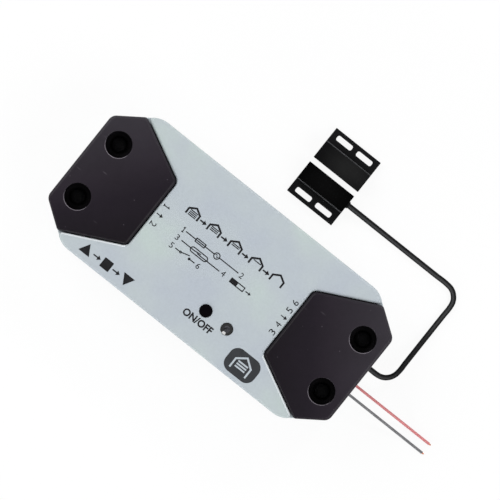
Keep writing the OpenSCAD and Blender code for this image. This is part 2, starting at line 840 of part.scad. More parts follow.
module line_choke() {
    neck_r = 0.78 * choke_d / 2;
    color([0.2, 0.2, 0.21])
    translate([choke_x, choke_y, board_top])
        rotate_extrude()
            polygon([[0, 0], [choke_d / 2, 0], [choke_d / 2, choke_rim], [neck_r, choke_rim],
                [neck_r, choke_h - choke_rim], [choke_d / 2, choke_h - choke_rim],
                [choke_d / 2, choke_h], [0, choke_h]]);
}

module wifi_module_board() {
    color([0.1, 0.2, 0.4])
    block([wifi_l, wifi_w, wifi_t], [wifi_x + wifi_l / 2, wifi_y, board_top]);
}

module wifi_module_shield() {
    color(steel)
    block([0.65 * wifi_l, wifi_w - 2 * wifi_edge, wifi_shield_h],
        [wifi_x + wifi_edge + 0.325 * wifi_l, wifi_y, board_top + wifi_t]);
}

// Case of the door contact or the magnet: a raised block with a slotted flange on its low side
contact_corner_r = 0.2;
contact_edge_r = 0.2;
half_contact = contact_l / 2;
block_corners = [[half_contact, contact_flange_w], [half_contact, contact_w],
    [-half_contact, contact_w], [-half_contact, contact_flange_w]];
flange_corners = [[half_contact, 0], [half_contact, contact_flange_w + contact_wall / 2],
    [-half_contact, contact_flange_w + contact_wall / 2], [-half_contact, 0]];
contact_radii = [contact_corner_r, contact_corner_r, contact_corner_r, contact_corner_r];
flange_radii = [contact_corner_r, 0.1, 0.1, contact_corner_r];

module contact_case() {
    difference() {
        union() {
            loft(concat([at_height(outline(block_corners, contact_radii, 0), 0)],
                brow_rings(block_corners, contact_radii, contact_block_h, contact_edge_r)));
            plate(flange_corners, flange_radii, 0, 0, contact_flange_t);
        }
        plate(block_corners, contact_radii, contact_wall, -over, contact_block_h - contact_wall + over);
        for (i = [-1, 1])
            translate([i * slot_span / 2, slot_inset, -over]) {
                for (k = [-1, 1])
                    rod(slot_w, contact_flange_t + 2 * over, [k * (slot_l - slot_w) / 2, 0, 0]);
                block([slot_l - slot_w, slot_w, contact_flange_t + 2 * over], [0, 0, 0]);
            }
    }
}

module contact_potting() {
    plate(block_corners, contact_radii, contact_wall + potting_gap, potting_z,
        contact_block_h - contact_wall - potting_gap - potting_z);
}

potting_z = 0.1;

module sensor_place() {
    translate([contact_x, contact_y, 0])
        children();
}

module magnet_place() {
    translate([contact_x, magnet_y + contact_w, 0])
        mirror([0, 1, 0])
            children();
}

module sensor_case() {
    color(black_plastic)
    difference() {
        sensor_place()
            contact_case();
        rod_x(cable_d + 2 * fit_gap, contact_wall + over,
            [contact_x + half_contact - contact_wall - over / 2, contact_lead_y, contact_lead_z]);
    }
}

reed_d = 1.8;
reed_l = 9;
reed_lead_d = 0.5;
reed_span = 14;

module sensor_potting() {
    color([0.1, 0.1, 0.1])
    difference() {
        sensor_place()
            contact_potting();
        rod_x(reed_d + 2 * fit_gap, reed_span + 2 * fit_gap,
            [contact_x - reed_span / 2 - fit_gap, contact_lead_y, contact_lead_z]);
    }
}

module reed_switch() {
    at = [contact_x, contact_lead_y, contact_lead_z];
    color([0.7, 0.8, 0.75])
    union() {
        rod_x(reed_d, reed_l, at - [reed_l / 2, 0, 0]);
        rod_x(reed_lead_d, reed_span, at - [reed_span / 2, 0, 0]);
    }
}

collar_wall = 0.2;
collar_d = cable_d + 2 * (fit_gap + collar_wall);
collar_l = 0.5;

module sensor_collar() {
    color([0.1, 0.1, 0.1])
    difference() {
        rod_x(collar_d, collar_l, [contact_x + half_contact, contact_lead_y, contact_lead_z]);
        rod_x(cable_d + 2 * fit_gap, collar_l + 2 * over,
            [contact_x + half_contact - over, contact_lead_y, contact_lead_z]);
    }
}

module magnet_case() {
    color(black_plastic)
    magnet_place()
        contact_case();
}

magnet_size = [13, 4, 3.4];
magnet_at = [0, contact_flange_w + contact_block_w / 2, 1.2];

module magnet_potting() {
    color([0.1, 0.1, 0.1])
    magnet_place()
        difference() {
            contact_potting();
            block(magnet_size + [0.1, 0.1, 0.1], magnet_at - [0, 0, 0.05]);
        }
}

module bar_magnet() {
    color(steel)
    magnet_place()
        block(magnet_size, magnet_at);
}

module sensor_cable() {
    color(black_plastic)
    lead(cable_route, cable_d);
}

module sensor_cable_cores() {
    color([0.8, 0.8, 0.75])
    for (route = core_routes)
        lead(route, core_d);
}

module red_wire() {
    color([0.8, 0.15, 0.18])
    lead(red_route, lead_d);
}

module black_wire() {
    color(black_plastic)
    lead(black_route, lead_d);
}

base_shell();
top_cover();
input_end_cap();
output_end_cap();
end_cap_screws();
on_off_button();
tact_switch_body();
tact_switch_stem();
light_pipe();
status_led();
circuit_board();
board_screws();
input_terminal_block();
input_terminal_screws();
output_terminal_block();
output_terminal_screws();
relay();
transformer_core();
transformer_winding();
bulk_capacitors();
output_capacitor();
fuse();
varistor();
bridge_rectifier();
line_choke();
wifi_module_board();
wifi_module_shield();
sensor_case();
sensor_potting();
reed_switch();
sensor_collar();
sensor_cable();
sensor_cable_cores();
magnet_case();
magnet_potting();
bar_magnet();
red_wire();
black_wire();
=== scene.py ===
import json
import math

import bmesh
import bpy
from mathutils import Matrix, Vector

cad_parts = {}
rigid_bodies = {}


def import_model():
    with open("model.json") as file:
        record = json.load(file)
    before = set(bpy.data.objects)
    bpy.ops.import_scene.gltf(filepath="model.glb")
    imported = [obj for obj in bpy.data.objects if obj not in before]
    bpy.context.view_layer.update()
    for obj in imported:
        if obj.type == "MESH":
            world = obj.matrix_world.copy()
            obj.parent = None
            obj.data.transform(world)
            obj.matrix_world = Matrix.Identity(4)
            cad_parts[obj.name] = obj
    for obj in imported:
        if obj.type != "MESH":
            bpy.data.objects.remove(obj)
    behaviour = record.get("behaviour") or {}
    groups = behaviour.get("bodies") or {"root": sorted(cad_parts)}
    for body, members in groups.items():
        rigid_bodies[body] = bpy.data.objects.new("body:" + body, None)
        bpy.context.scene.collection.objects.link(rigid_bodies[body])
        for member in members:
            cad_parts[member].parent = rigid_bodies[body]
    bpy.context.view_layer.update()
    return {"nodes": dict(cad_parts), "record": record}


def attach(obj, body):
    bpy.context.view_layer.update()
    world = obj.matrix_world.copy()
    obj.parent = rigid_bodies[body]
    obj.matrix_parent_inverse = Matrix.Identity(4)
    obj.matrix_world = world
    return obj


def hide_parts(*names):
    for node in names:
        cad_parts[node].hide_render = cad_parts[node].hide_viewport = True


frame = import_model()
scene = bpy.context.scene
scene.view_settings.view_transform = "Standard"
MM = 0.001

# Sizes of the box, shared with the solids, in millimetres
HALF_L, HALF_W = 57.0, 25.6
COVER_Z, SEAM_Z, CAP_Z = 31.0, 15.0, 31.8
WALL, FLOOR_T, ROOF_T, SEAT_T = 2.0, 2.0, 2.0, 2.0
CORNER_RUN, CORNER_CUT = 13.0, 9.2
SHOULDER_R, END_R = 8.0, 3.0
BROW_R, CAP_ROUND, FOOT_R, SEAM_EASE = 0.8, 1.0, 1.2, 0.25
CAP_L, CAP_SHOULDER, NOSE_HALF, NOSE_R, CAP_GAP = 29.2, 9.1, 12.7, 2.0, 0.3
CAP_TONGUE_HALF, CAP_TONGUE_T, CAP_TONGUE_DOWN, CAP_TONGUE_UP = 4.5, 1.4, 2.0, 3.0
WELL_D, WELL_WALL, WELL_X, WELL_Y, WELL_EASE = 8.6, 1.0, 49.5, 10.5, 0.3
CAP_SCREW_HOLE, CAP_POST_D, CAP_POST_BORE, CAP_POST_BORE_Z = 3.1, 7.0, 3.0, 6.0
BOARD_POST_X, BOARD_POST_Y, BOARD_POST_D, BOARD_Z = 36.5, 17.5, 6.0, 4.2
BOARD_POST_BORE, BOARD_POST_BORE_Z = 2.3, 1.2
TONGUE_X, TONGUE_HALF, TONGUE_T, TONGUE_RISE, TONGUE_GAP = 21.0, 6.0, 1.2, 4.0, 0.2
WALL_HOLE_X, WALL_HOLE_D, WALL_BOSS_D, WALL_BOSS_Z = 44.0, 4.0, 8.0, 2.6
MAINS_D, MAINS_Z = 7.0, 8.5
RIB_X, RIB_T, RIB_H = 24.0, 1.4, 2.5
GUIDE_WALL, GUIDE_DEEP, GUIDE_EASE = 1.3, 7.0, 0.2

# Button and light
BUTTON_X, BUTTON_Y, BUTTON_D, BUTTON_SLACK = 4.9, -13.5, 3.9, 0.3
BUTTON_UP, BUTTON_EASE, BUTTON_FOOT_Z = 0.5, 0.3, 12.9
KEEPER_Z, KEEPER_R, KEEPER_T = 20.6, 3.2, 1.2
LIGHT_X, LIGHT_Y, LIGHT_D, LIGHT_SLACK = 13.7, -13.9, 3.9, 0.2
LIGHT_FOOT_Z, HEAD_SUNK, HEAD_BEVEL, HEAD_TILT = 10.6, 0.1, 0.85, 34.6

# Contact and magnet
CONTACT_X, CONTACT_Y, MAGNET_Y, CONTACT_L = 10.1, 32.5, 46.1, 18.0
BLOCK_W, BLOCK_H, FLANGE_W, FLANGE_T = 6.8, 6.5, 5.0, 2.2
CASE_WALL, CONTACT_R, FLANGE_EASE = 0.9, 0.2, 0.15
SLOT_W, SLOT_L, SLOT_R, SLOT_SPAN, SLOT_INSET = 1.8, 6.0, 0.6, 8.0, 2.25
BEAD_IN, BEAD_W, BEAD_SHORT, BEAD_DOWN, BEAD_UP, BEAD_ROUND = 0.03, 0.33, 0.2, 0.4, 0.06, 0.12
CONTACT_ENTRY_Z, CONTACT_ENTRY_SLACK = 3.0, 0.2
COLLAR_L, COLLAR_WALL, COLLAR_EASE = 0.5, 0.2, 0.25

# Cords
CABLE_D, LEAD_D = 1.8, 0.9
CABLE_Y, RED_Y, BLACK_Y = 4.5, -2.4, -6.0
ENTRY_Z, ENTRY_SLACK = 6.5, 0.5
STRANDS_ROUND, STRAND_D, STRAND_RING, STRAND_IN, STRAND_OUT = 6, 0.15, 0.16, 0.5, 0.6

# Camera: straight above, turned as the photograph is, with a long lens
PICTURE_W, LENS, SENSOR = 158.4, 1500, 36
VIEW_X, VIEW_Y, VIEW_TURN = 3.8, 10.3, 38.6
cam = bpy.data.objects.new("camera", bpy.data.cameras.new("camera"))
cam.data.lens = LENS
cam.data.sensor_width = SENSOR
cam.location = (VIEW_X * MM, VIEW_Y * MM, (COVER_Z + PICTURE_W * LENS / SENSOR) * MM)
cam.rotation_euler = (0, 0, math.radians(VIEW_TURN))
scene.collection.objects.link(cam)
scene.camera = cam


def link(obj, body=None, replaces=None):
    scene.collection.objects.link(obj)
    if body:
        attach(obj, body)
    if replaces:
        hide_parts(replaces)
    return obj


# Materials
MATS = {}


def srgb(r, g, b):
    def lin(c):
        c /= 255
        return c / 12.92 if c <= 0.04045 else ((c + 0.055) / 1.055) ** 2.4

    return (lin(r), lin(g), lin(b), 1.0)


def grey(v):
    return (v, v, v, 1.0)


def tint(c, f):
    return (min(1, c[0] * f), min(1, c[1] * f), min(1, c[2] * f), 1.0)


class Nodes:
    """A Principled material, kept in MATS, with short calls for the nodes that feed it."""

    def __init__(self, name):
        self.mat = MATS[name] = bpy.data.materials.new(name)
        self.mat.use_nodes = True
        self.tree = self.mat.node_tree
        self.shader = self.tree.nodes["Principled BSDF"]
        where = self.new("ShaderNodeTexCoord")
        self.place, self.normal = where.outputs["Object"], where.outputs["Normal"]

    def new(self, kind, **props):
        n = self.tree.nodes.new(kind)
        for k, v in props.items():
            setattr(n, k, v)
        return n

    def join(self, a, b):
        self.tree.links.new(a, b)

    def stretched(self, scale, turn=(0, 0, 0)):
        n = self.new("ShaderNodeMapping")
        n.inputs["Scale"].default_value = scale
        n.inputs["Rotation"].default_value = turn
        self.join(self.place, n.inputs["Vector"])
        return n.outputs["Vector"]

    def noise(self, scale, detail=3, rough=0.5):
        n = self.new("ShaderNodeTexNoise")
        n.inputs["Scale"].default_value = scale
        n.inputs["Detail"].default_value = detail
        n.inputs["Roughness"].default_value = rough
        self.join(self.place, n.inputs["Vector"])
        return n.outputs["Fac"]

    def cells(self, scale, at=None):
        n = self.new("ShaderNodeTexVoronoi")
        n.inputs["Scale"].default_value = scale
        self.join(at or self.place, n.inputs["Vector"])
        return n.outputs["Distance"]

    def ramp(self, value, *stops):
        n = self.new("ShaderNodeValToRGB")
        marks = n.color_ramp.elements
        while len(marks) < len(stops):
            marks.new(0.5)
        for mark, (at, colour) in zip(marks, stops):
            mark.position = at
            mark.color = colour
        self.join(value, n.inputs["Fac"])
        return n.outputs["Color"]

    def slope(self, out, across):
        """A value that rises by so much per metre away from the middle along X, and along Y."""
        away = self.new("ShaderNodeVectorMath", operation="ABSOLUTE")
        self.join(self.place, away.inputs[0])
        both = self.new("ShaderNodeMath", operation="ADD")
        for i, (at, gain) in enumerate(((away.outputs[0], (out, 0, 0)), (self.place, (0, across, 0)))):
            n = self.new("ShaderNodeVectorMath", operation="DOT_PRODUCT")
            n.inputs[1].default_value = gain
            self.join(at, n.inputs[0])
            self.join(n.outputs["Value"], both.inputs[i])
        return both.outputs[0]

    def spread(self, value, low, high, from_low=0.3, from_high=0.7):
        n = self.new("ShaderNodeMapRange")
        ends = {"From Min": from_low, "From Max": from_high, "To Min": low, "To Max": high}
        for socket, v in ends.items():
            n.inputs[socket].default_value = v
        self.join(value, n.inputs["Value"])
        return n.outputs["Result"]

    def mix(self, fac, a, b, how="MIX"):
        n = self.new("ShaderNodeMix", data_type="RGBA", blend_type=how)
        for socket, v in ((0, fac), (6, a), (7, b)):
            if hasattr(v, "is_linked"):
                self.join(v, n.inputs[socket])
            else:
                n.inputs[socket].default_value = v
        return n.outputs[2]

    def colour(self, out):
        self.join(out, self.shader.inputs["Base Color"])

    def roughness(self, out):
        self.join(out, self.shader.inputs["Roughness"])

    def bump(self, out, depth):
        n = self.new("ShaderNodeBump")
        n.inputs["Strength"].default_value = 1.0
        n.inputs["Distance"].default_value = depth * MM
        self.join(out, n.inputs["Height"])
        self.join(n.outputs["Normal"], self.shader.inputs["Normal"])

    def set(self, **values):
        for k, v in values.items():
            self.shader.inputs[k.replace("_", " ")].default_value = v


def mottled(name, colour, rough=(0.4, 0.55), vary=0.12, patch=90, grain=2600, depth=0.012, **values):
    """Moulded, coated or plated stuff: patchy colour, uneven gloss and a fine grain."""
    m = Nodes(name)
    m.colour(m.ramp(m.noise(patch, 4), (0.32, tint(colour, 1 - vary)), (0.68, tint(colour, 1 + vary))))
    m.roughness(m.spread(m.noise(patch * 4, 2), *rough))
    m.bump(m.noise(grain, 2), depth)
    m.set(**values)


def cover_plastic():
    """Pale grey plastic with faint cool and green patches."""
    m = Nodes("cover_grey")
    base = m.ramp(
        m.noise(42, 3, 0.55),
        (0.30, srgb(177, 185, 194)),
        (0.52, srgb(182, 191, 195)),
        (0.72, srgb(186, 200, 195)),
    )
    fine = m.ramp(m.noise(1500, 3), (0.3, grey(0.95)), (0.7, grey(1.0)))
    m.colour(m.mix(1.0, base, fine, "MULTIPLY"))
    m.roughness(m.spread(m.noise(700, 3), 0.48, 0.62))
    m.bump(m.noise(3600, 2, 0.6), 0.012)
    m.set(Specular_IOR_Level=0.3, Coat_Weight=0.4, Coat_Roughness=0.22)


def cap_plastic():
    """Dark plastic with dust and scuffs, and a painted sheen that makes it paler towards the outer ends and
    the +Y side.
    """
    black, white = grey(0.0), grey(1.0)
    m = Nodes("cap_black")
    out_rise, across_rise = 620, 470
    darkest, palest = 11.7, 43.7
    # painted sheen: the colour grows paler towards the outer ends and the +Y side
    painted_sheen = m.ramp(
        m.spread(m.slope(out_rise, across_rise), 0, 1, darkest, palest),
        (0.0, (0.0024, 0.0002, 0.0030, 1)),
        (0.35, (0.0084, 0.0046, 0.0104, 1)),
        (0.5, (0.0155, 0.0106, 0.0175, 1)),
        (1.0, (0.0345, 0.0301, 0.0385, 1)),
    )
    patchy = m.ramp(m.noise(55, 4, 0.6), (0.3, grey(0.74)), (0.7, white))
    base = m.mix(1.0, painted_sheen, patchy, "MULTIPLY")
    dust = m.ramp(m.cells(240), (0.015, white), (0.05, black))
    worn = m.mix(dust, base, srgb(78, 72, 80))
    for turn, scale in ((0.5, 84), (-0.8, 66)):
        mask = m.ramp(m.noise(scale, 2), (0.5, black), (0.58, white))
        scuff = m.ramp(m.cells(scale, m.stretched((1, 4, 4), (0, 0, turn))), (0.04, white), (0.1, black))
        worn = m.mix(m.mix(1.0, scuff, mask, "MULTIPLY"), worn, srgb(60, 55, 62))
    m.colour(worn)
    m.roughness(m.spread(m.noise(420, 3), 0.55, 0.7))
    m.bump(m.noise(3000, 2, 0.6), 0.014)
    m.set(Specular_IOR_Level=0.15, Coat_Weight=0.2, Coat_Roughness=0.25)


def block_plastic(name, pale, dark, middle, spec):
    """Black case with a painted sheen: paler round the middle of its face and darker away from it."""
    squeeze, near, far = 1.6, 2.5, 10
    m = Nodes(name)
    away = m.new("ShaderNodeVectorMath", operation="DISTANCE")
    m.join(m.stretched((1, squeeze, 0)), away.inputs[0])
    away.inputs[1].default_value = (middle[0] * MM, middle[1] * squeeze * MM, 0)
    painted_sheen = m.ramp(m.spread(away.outputs["Value"], 0, 1, near * MM, far * MM), (0.0, pale), (1.0, dark))
    patchy = m.ramp(m.noise(120, 4), (0.32, grey(0.8)), (0.68, grey(1.0)))
    m.colour(m.mix(1.0, painted_sheen, patchy, "MULTIPLY"))
    m.roughness(m.spread(m.noise(480, 2), 0.55, 0.68))
    m.bump(m.noise(2600, 2), 0.012)
    m.set(Specular_IOR_Level=spec)


def cable_sheath():
    """Black sheath with a painted highlight along its upper side, leaning towards -Y."""
    # painted highlight on the faces that look this way
    highlight_side = (0.0, -0.28, 0.96)
    m = Nodes("cable_black")
    facing = m.new("ShaderNodeVectorMath", operation="DOT_PRODUCT")
    m.join(m.normal, facing.inputs[0])
    facing.inputs[1].default_value = highlight_side
    m.colour(
        m.ramp(
            facing.outputs["Value"],
            (0.7, srgb(10, 10, 11)),
            (0.87, srgb(30, 30, 31)),
            (0.94, srgb(54, 54, 55)),
            (1.0, srgb(64, 64, 65)),
        )
    )
    m.roughness(m.spread(m.noise(1040, 2), 0.42, 0.52))
    m.bump(m.noise(2400, 2), 0.006)
    m.set(Specular_IOR_Level=0.1)


def solder_mask(name, colour):
    """Lacquered board with its tracks as fine lines."""
    m = Nodes(name)
    tracks = m.new("ShaderNodeTexBrick")
    tracks.inputs["Scale"].default_value = 120
    tracks.inputs["Mortar Size"].default_value = 0.06
    for socket, c in (("Color1", colour), ("Color2", tint(colour, 0.8)), ("Mortar", tint(colour, 1.9))):
        tracks.inputs[socket].default_value = c
    m.join(m.place, tracks.inputs["Vector"])
    m.colour(tracks.outputs["Color"])
    m.roughness(m.spread(m.noise(300, 3), 0.25, 0.4))
    m.bump(tracks.outputs["Fac"], 0.03)


cover_plastic()
cap_plastic()
mottled("button_black", srgb(4, 2, 5), (0.5, 0.65), 0.25, 300, Specular_IOR_Level=0.03)
mottled("contact_black", srgb(21, 21, 22), (0.55, 0.68), 0.25, 120, Specular_IOR_Level=0.06)
# the block colours below carry a painted sheen round the middle of the contact's and the magnet's faces
block_plastic("contact_block", srgb(10, 10, 10), srgb(2, 2, 2), middle=(10.1, 41.2), spec=0.02)
block_plastic("magnet_block", srgb(32, 32, 32), srgb(11, 11, 12), middle=(12.3, 49.8), spec=0.06)
mottled("potting", srgb(28, 28, 30), (0.2, 0.35), 0.2, 150)
mottled("screw_dark", srgb(42, 42, 45), (0.4, 0.55), 0.3, 500, Specular_IOR_Level=0.4)
mottled("screw_bright", srgb(200, 200, 204), (0.25, 0.4), 0.08, 500, Metallic=1.0)
mottled("clear_lens", srgb(3, 3, 4), (0.04, 0.08), 0.2, 700, depth=0.001, Coat_Weight=0.25)
# painted reflection: pale, mottled paint for the flat top of the lens
mottled("lens_top_reflection", srgb(54, 54, 58), (0.04, 0.08), 0.9, 1700, depth=0.001, Coat_Weight=0.3)
mottled("reed_glass", srgb(150, 185, 165), (0.05, 0.1), 0.1, 300, depth=0.002)
mottled("shield_tin", srgb(205, 205, 203), (0.25, 0.42), 0.07, 200, Metallic=1.0)
mottled("terminal_green", srgb(48, 124, 78), (0.4, 0.55))
mottled("relay_blue", srgb(36, 78, 160), (0.3, 0.42))
mottled("switch_black", srgb(34, 34, 36), (0.45, 0.6))
mottled("stem_cream", srgb(216, 206, 184), (0.4, 0.55), 0.06)
mottled("ferrite", srgb(62, 62, 65), (0.6, 0.8), 0.2, 220, 1800, 0.03)
mottled("winding_tape", srgb(216, 184, 62), (0.2, 0.3), 0.1, 200, 900, 0.02)
mottled("can_sleeve", srgb(34, 36, 58), (0.2, 0.32))
mottled("fuse_case", srgb(122, 50, 40), (0.3, 0.42))
mottled("varistor_blue", srgb(44, 92, 150), (0.25, 0.4), 0.15, 200, 1200, 0.03)
mottled("magnet_nickel", srgb(208, 207, 204), (0.15, 0.28), 0.05, 250, Metallic=1.0)
cable_sheath()
# painted highlight for the cover's upper edge beside the caps
mottled("cover_edge_highlight", srgb(228, 234, 237), (0.4, 0.55), 0.03, 160)
# painted highlight for one side of the wells' eased rims
mottled("well_rim_highlight", srgb(106, 100, 108), (0.45, 0.6), 0.25, 300)
# painted highlight for the bead along the blocks' upper edge
mottled("bead_highlight", srgb(74, 74, 77), (0.5, 0.65), 0.3, 400)
mottled("print_ink", srgb(22, 22, 25), (0.5, 0.65), 0.35, 420, depth=0.004, Specular_IOR_Level=0.2)
mottled("badge_ink", srgb(50, 52, 55), (0.5, 0.65), 0.12, 420, depth=0.004, Specular_IOR_Level=0.2)
mottled("copper", srgb(206, 128, 92), (0.25, 0.4), 0.12, 900, Metallic=1.0)
mottled("core_white", srgb(216, 214, 208), (0.35, 0.5), 0.06, 300)
mottled("lead_red", srgb(211, 125, 127), (0.3, 0.42), 0.08, 300, 2400, 0.005)
mottled("lead_black", srgb(112, 112, 115), (0.3, 0.42), 0.14, 300, 2400, 0.005)
solder_mask("board_green", srgb(40, 98, 60))
solder_mask("board_blue", srgb(30, 58, 108))

SLOT_OF = {s["node"]: s["material_slot"] for s in frame["record"]["subparts"]}
for name, obj in frame["nodes"].items():
    obj.data.materials.clear()
    obj.data.materials.append(MATS[SLOT_OF[name]])

# Cords, laid along the solids' own routes
CABLE = [
    (46, 4.5, 6.5), (50, 4.5, 6.5), (54, 4.5, 6.5), (57.5, 4.5, 6.5), (59.8, 4.5, 6.4),
    (61.8, 4.9, 6.2), (63.4, 6, 5.9), (64.5, 7.7, 5.5), (64.9, 9.6, 5.1), (64.9, 13, 4.2),
    (64.9, 17, 3.1), (64.9, 21, 2.1), (64.9, 25, 1.3), (64.9, 29, 1), (64.9, 32.5, 1),
    (64.9, 35.8, 1), (64.5, 37.8, 1), (63.4, 39.4, 1), (61.8, 40.5, 1), (59.8, 40.9, 1),
    (55, 40.9, 1), (50, 40.9, 1), (45, 40.9, 1), (40, 40.9, 1), (35, 40.9, 1),
    (31, 40.9, 1.1), (28, 40.9, 1.6), (25, 40.9, 2.3), (22.5, 40.9, 2.8), (20.5, 40.9, 3),
    (18.2, 40.9, 3),
]  # fmt: skip
RED = [
    (37, -2.3, 9.4), (40.5, -2.3, 9.4), (43, -2.3, 9), (46, -2.4, 8), (49, -2.4, 7.1),
    (52, -2.4, 6.6), (55, -2.4, 6.5), (58, -2.4, 6.5), (61, -2.4, 6.2), (64, -2.4, 5.5),
    (67, -2.4, 4.5), (70, -2.4, 3.4), (73, -2.4, 2.3), (76, -2.4, 1.4), (79, -2.4, 0.7),
    (82, -2.4, 0.5), (86.9, -2.4, 0.5),
]  # fmt: skip
BLACK = [
    (37, -5.8, 9.4), (40.5, -5.8, 9.4), (43, -5.8, 9), (46, -5.9, 8), (49, -6, 7.1),
    (52, -6, 6.6), (55, -6, 6.5), (58, -6, 6.5), (61, -6, 6.2), (64, -6, 5.5),
    (67, -6, 4.5), (70, -6, 3.4), (73, -6, 2.3), (76, -6, 1.4), (79, -6, 0.7),
    (82, -6, 0.5), (86.9, -6, 0.5),
]  # fmt: skip


def lead(name, route, d, node, slot):
    curve = bpy.data.curves.new(name, "CURVE")
    curve.dimensions = "3D"
    curve.bevel_depth = d / 2 * MM
    curve.bevel_resolution = 6
    curve.resolution_u = 5
    curve.use_fill_caps = True
    spline = curve.splines.new("BEZIER")
    spline.bezier_points.add(len(route) - 1)
    for p, at in zip(spline.bezier_points, route):
        p.co = Vector(at) * MM
        p.handle_left_type = p.handle_right_type = "AUTO"
    curve.materials.append(MATS[slot])
    link(bpy.data.objects.new(name, curve), "controller", node)


lead("contact_cable", CABLE, CABLE_D, "sensor_cable", "cable_black")
lead("red_lead", RED, LEAD_D, "red_wire", "lead_red")
lead("black_lead", BLACK, LEAD_D, "black_wire", "lead_black")

# Floor and light, with the lamps' places and sizes and the floor's size in metres
FLOOR_HALF = 20
FLOOR_DROP = 0.1 * MM
floor = bpy.data.meshes.new("floor")
floor_corners = [(x * FLOOR_HALF, y * FLOOR_HALF, 0) for x, y in ((-1, -1), (1, -1), (1, 1), (-1, 1))]
floor.from_pydata(floor_corners, [], [(0, 1, 2, 3)])
floor_obj = link(bpy.data.objects.new("floor", floor))
floor_obj.location.z = -FLOOR_DROP


def floor_paint():
    """White matte floor that is seen a little brighter than it is lit, and keeps its shadows."""
    whiteness, seen_share = 0.93, 0.9
    mat = bpy.data.materials.new("floor")
    mat.use_nodes = True
    tree = mat.node_tree
    tree.nodes.clear()
    new, join = tree.nodes.new, tree.links.new
    path = new("ShaderNodeLightPath")
    seen = path.outputs["Is Camera Ray"]
    for ray in ("Is Glossy Ray", "Is Transmission Ray"):
        either = new("ShaderNodeMath")
        either.operation = "MAXIMUM"
        join(seen, either.inputs[0])
        join(path.outputs[ray], either.inputs[1])
        seen = either.outputs[0]
    share = new("ShaderNodeMath")
    share.operation = "MULTIPLY"
    share.inputs[1].default_value = seen_share
    join(seen, share.inputs[0])
    matte = new("ShaderNodeBsdfDiffuse")
    matte.inputs["Color"].default_value = grey(whiteness)
    both = new("ShaderNodeMixShader")
    join(share.outputs[0], both.inputs["Fac"])
    join(matte.outputs[0], both.inputs[1])
    join(new("ShaderNodeEmission").outputs[0], both.inputs[2])
    join(both.outputs[0], new("ShaderNodeOutputMaterial").inputs["Surface"])
    return mat


floor.materials.append(floor_paint())


def studio():
    """A room with white walls and a dimmer ceiling."""
    world = bpy.data.worlds.new("studio")
    world.use_nodes = True
    tree = world.node_tree
    new, join = tree.nodes.new, tree.links.new
    split = new("ShaderNodeSeparateXYZ")
    join(new("ShaderNodeTexCoord").outputs["Generated"], split.inputs[0])
    rise = new("ShaderNodeValToRGB")
    walls, ceiling = rise.color_ramp.elements
    walls.position = 0.05
    walls.color = grey(1.0)
    ceiling.position = 0.75
    ceiling.color = (0.22, 0.22, 0.225, 1)
    join(split.outputs["Z"], rise.inputs["Fac"])
    join(rise.outputs["Color"], tree.nodes["Background"].inputs["Color"])
    return world


scene.world = studio()


def lamp(name, at, size, watts):
    data = bpy.data.lights.new(name, "AREA")
    data.shape = "ELLIPSE"
    data.size, data.size_y = size
    data.energy = watts
    obj = bpy.data.objects.new(name, data)
    obj.location = at
    obj.rotation_euler = (-Vector(at)).to_track_quat("-Z", "Y").to_euler()
    obj.visible_camera = False
    scene.collection.objects.link(obj)


lamp("key_light", at=(-1.1, 0.25, 1.3), size=(1.5, 1.3), watts=12.4)
lamp("side_light", at=(1.1, -0.1, 1.3), size=(1.2, 1.2), watts=10)
lamp("rear_light", at=(0.1, 1.0, 1.0), size=(0.5, 0.35), watts=4)
lamp("front_light", at=(0.0, -1.3, 0.5), size=(2.0, 0.11), watts=6.5)

# Outlines and forms, in millimetres. Tools reach PAST a face, and joined forms LAP into each other.
ARC_STEPS, EDGE_STEPS, COLLAR_STEPS = 12, 7, 5
ROUND_SIDES, SLIM_SIDES, RING_SIDES = 64, 40, 28
PAST, LAP, LEAST_R = 1.0, 0.05, 0.1


def left(v):
    return Vector((-v.y, v.x))


def turned(v, a):
    return Vector((v.x * math.cos(a) - v.y * math.sin(a), v.x * math.sin(a) + v.y * math.cos(a)))


def full_turn(n):
    return [2 * math.pi * k / n for k in range(n)]


def half_turn(start):
    return [math.radians(start + 180 * k / ARC_STEPS) for k in range(ARC_STEPS + 1)]


def quarter(n=EDGE_STEPS):
    return [math.pi / 2 * k / n for k in range(n + 1)]


def oblong(x0, x1, y0, y1):
    return [Vector(c) for c in ((x1, y0), (x1, y1), (x0, y1), (x0, y0))]


def inset(pts, d):
    out = []
    for i, p in enumerate(pts):
        a = left((p - pts[i - 1]).normalized())
        b = left((pts[(i + 1) % len(pts)] - p).normalized())
        out.append(p + (a + b) * (d / (1 + a.dot(b))))
    return out


def outline(pts, radii, d=0.0):
    """Rounded outline, moved inwards by d with its radii kept parallel."""
    moved, out = inset(pts, d), []
    for i, p in enumerate(moved):
        way, on = p - moved[i - 1], moved[(i + 1) % len(moved)] - p
        turn = math.atan2(way.x * on.y - way.y * on.x, way.dot(on))
        side = math.copysign(1, turn)
        r = max(LEAST_R, radii[i] - side * d)
        way.normalize()
        mid = p - way * (r * math.tan(abs(turn) / 2)) + left(way) * (side * r)
        out += [mid - left(turned(way, turn * k / ARC_STEPS)) * (side * r) for k in range(ARC_STEPS + 1)]
    return out


def level(pts, z):
    return [(p.x, p.y, z) for p in pts]


def rounded(r, z, ease):
    """Profile of a rounded upper edge, as radius and height."""
    return [(r - ease * (1 - math.cos(a)), z - ease * (1 - math.sin(a))) for a in quarter()]


def brow(pts, radii, z, r):
    """Rings of a rounded upper edge."""
    return [level(outline(pts, radii, r * (1 - math.cos(a))), z - r * (1 - math.sin(a))) for a in quarter()]


def foot(pts, radii, z, r):
    """Rings of a rounded lower edge."""
    return [level(outline(pts, radii, r * (1 - math.sin(a))), z + r * (1 - math.cos(a))) for a in quarter()]


def seam(pts, radii, side):
    """Rings of an eased edge at the seam, going up (1) or down (-1) from it."""
    return [
        level(outline(pts, radii, SEAM_EASE), SEAM_Z),
        level(outline(pts, radii), SEAM_Z + side * SEAM_EASE),
    ]


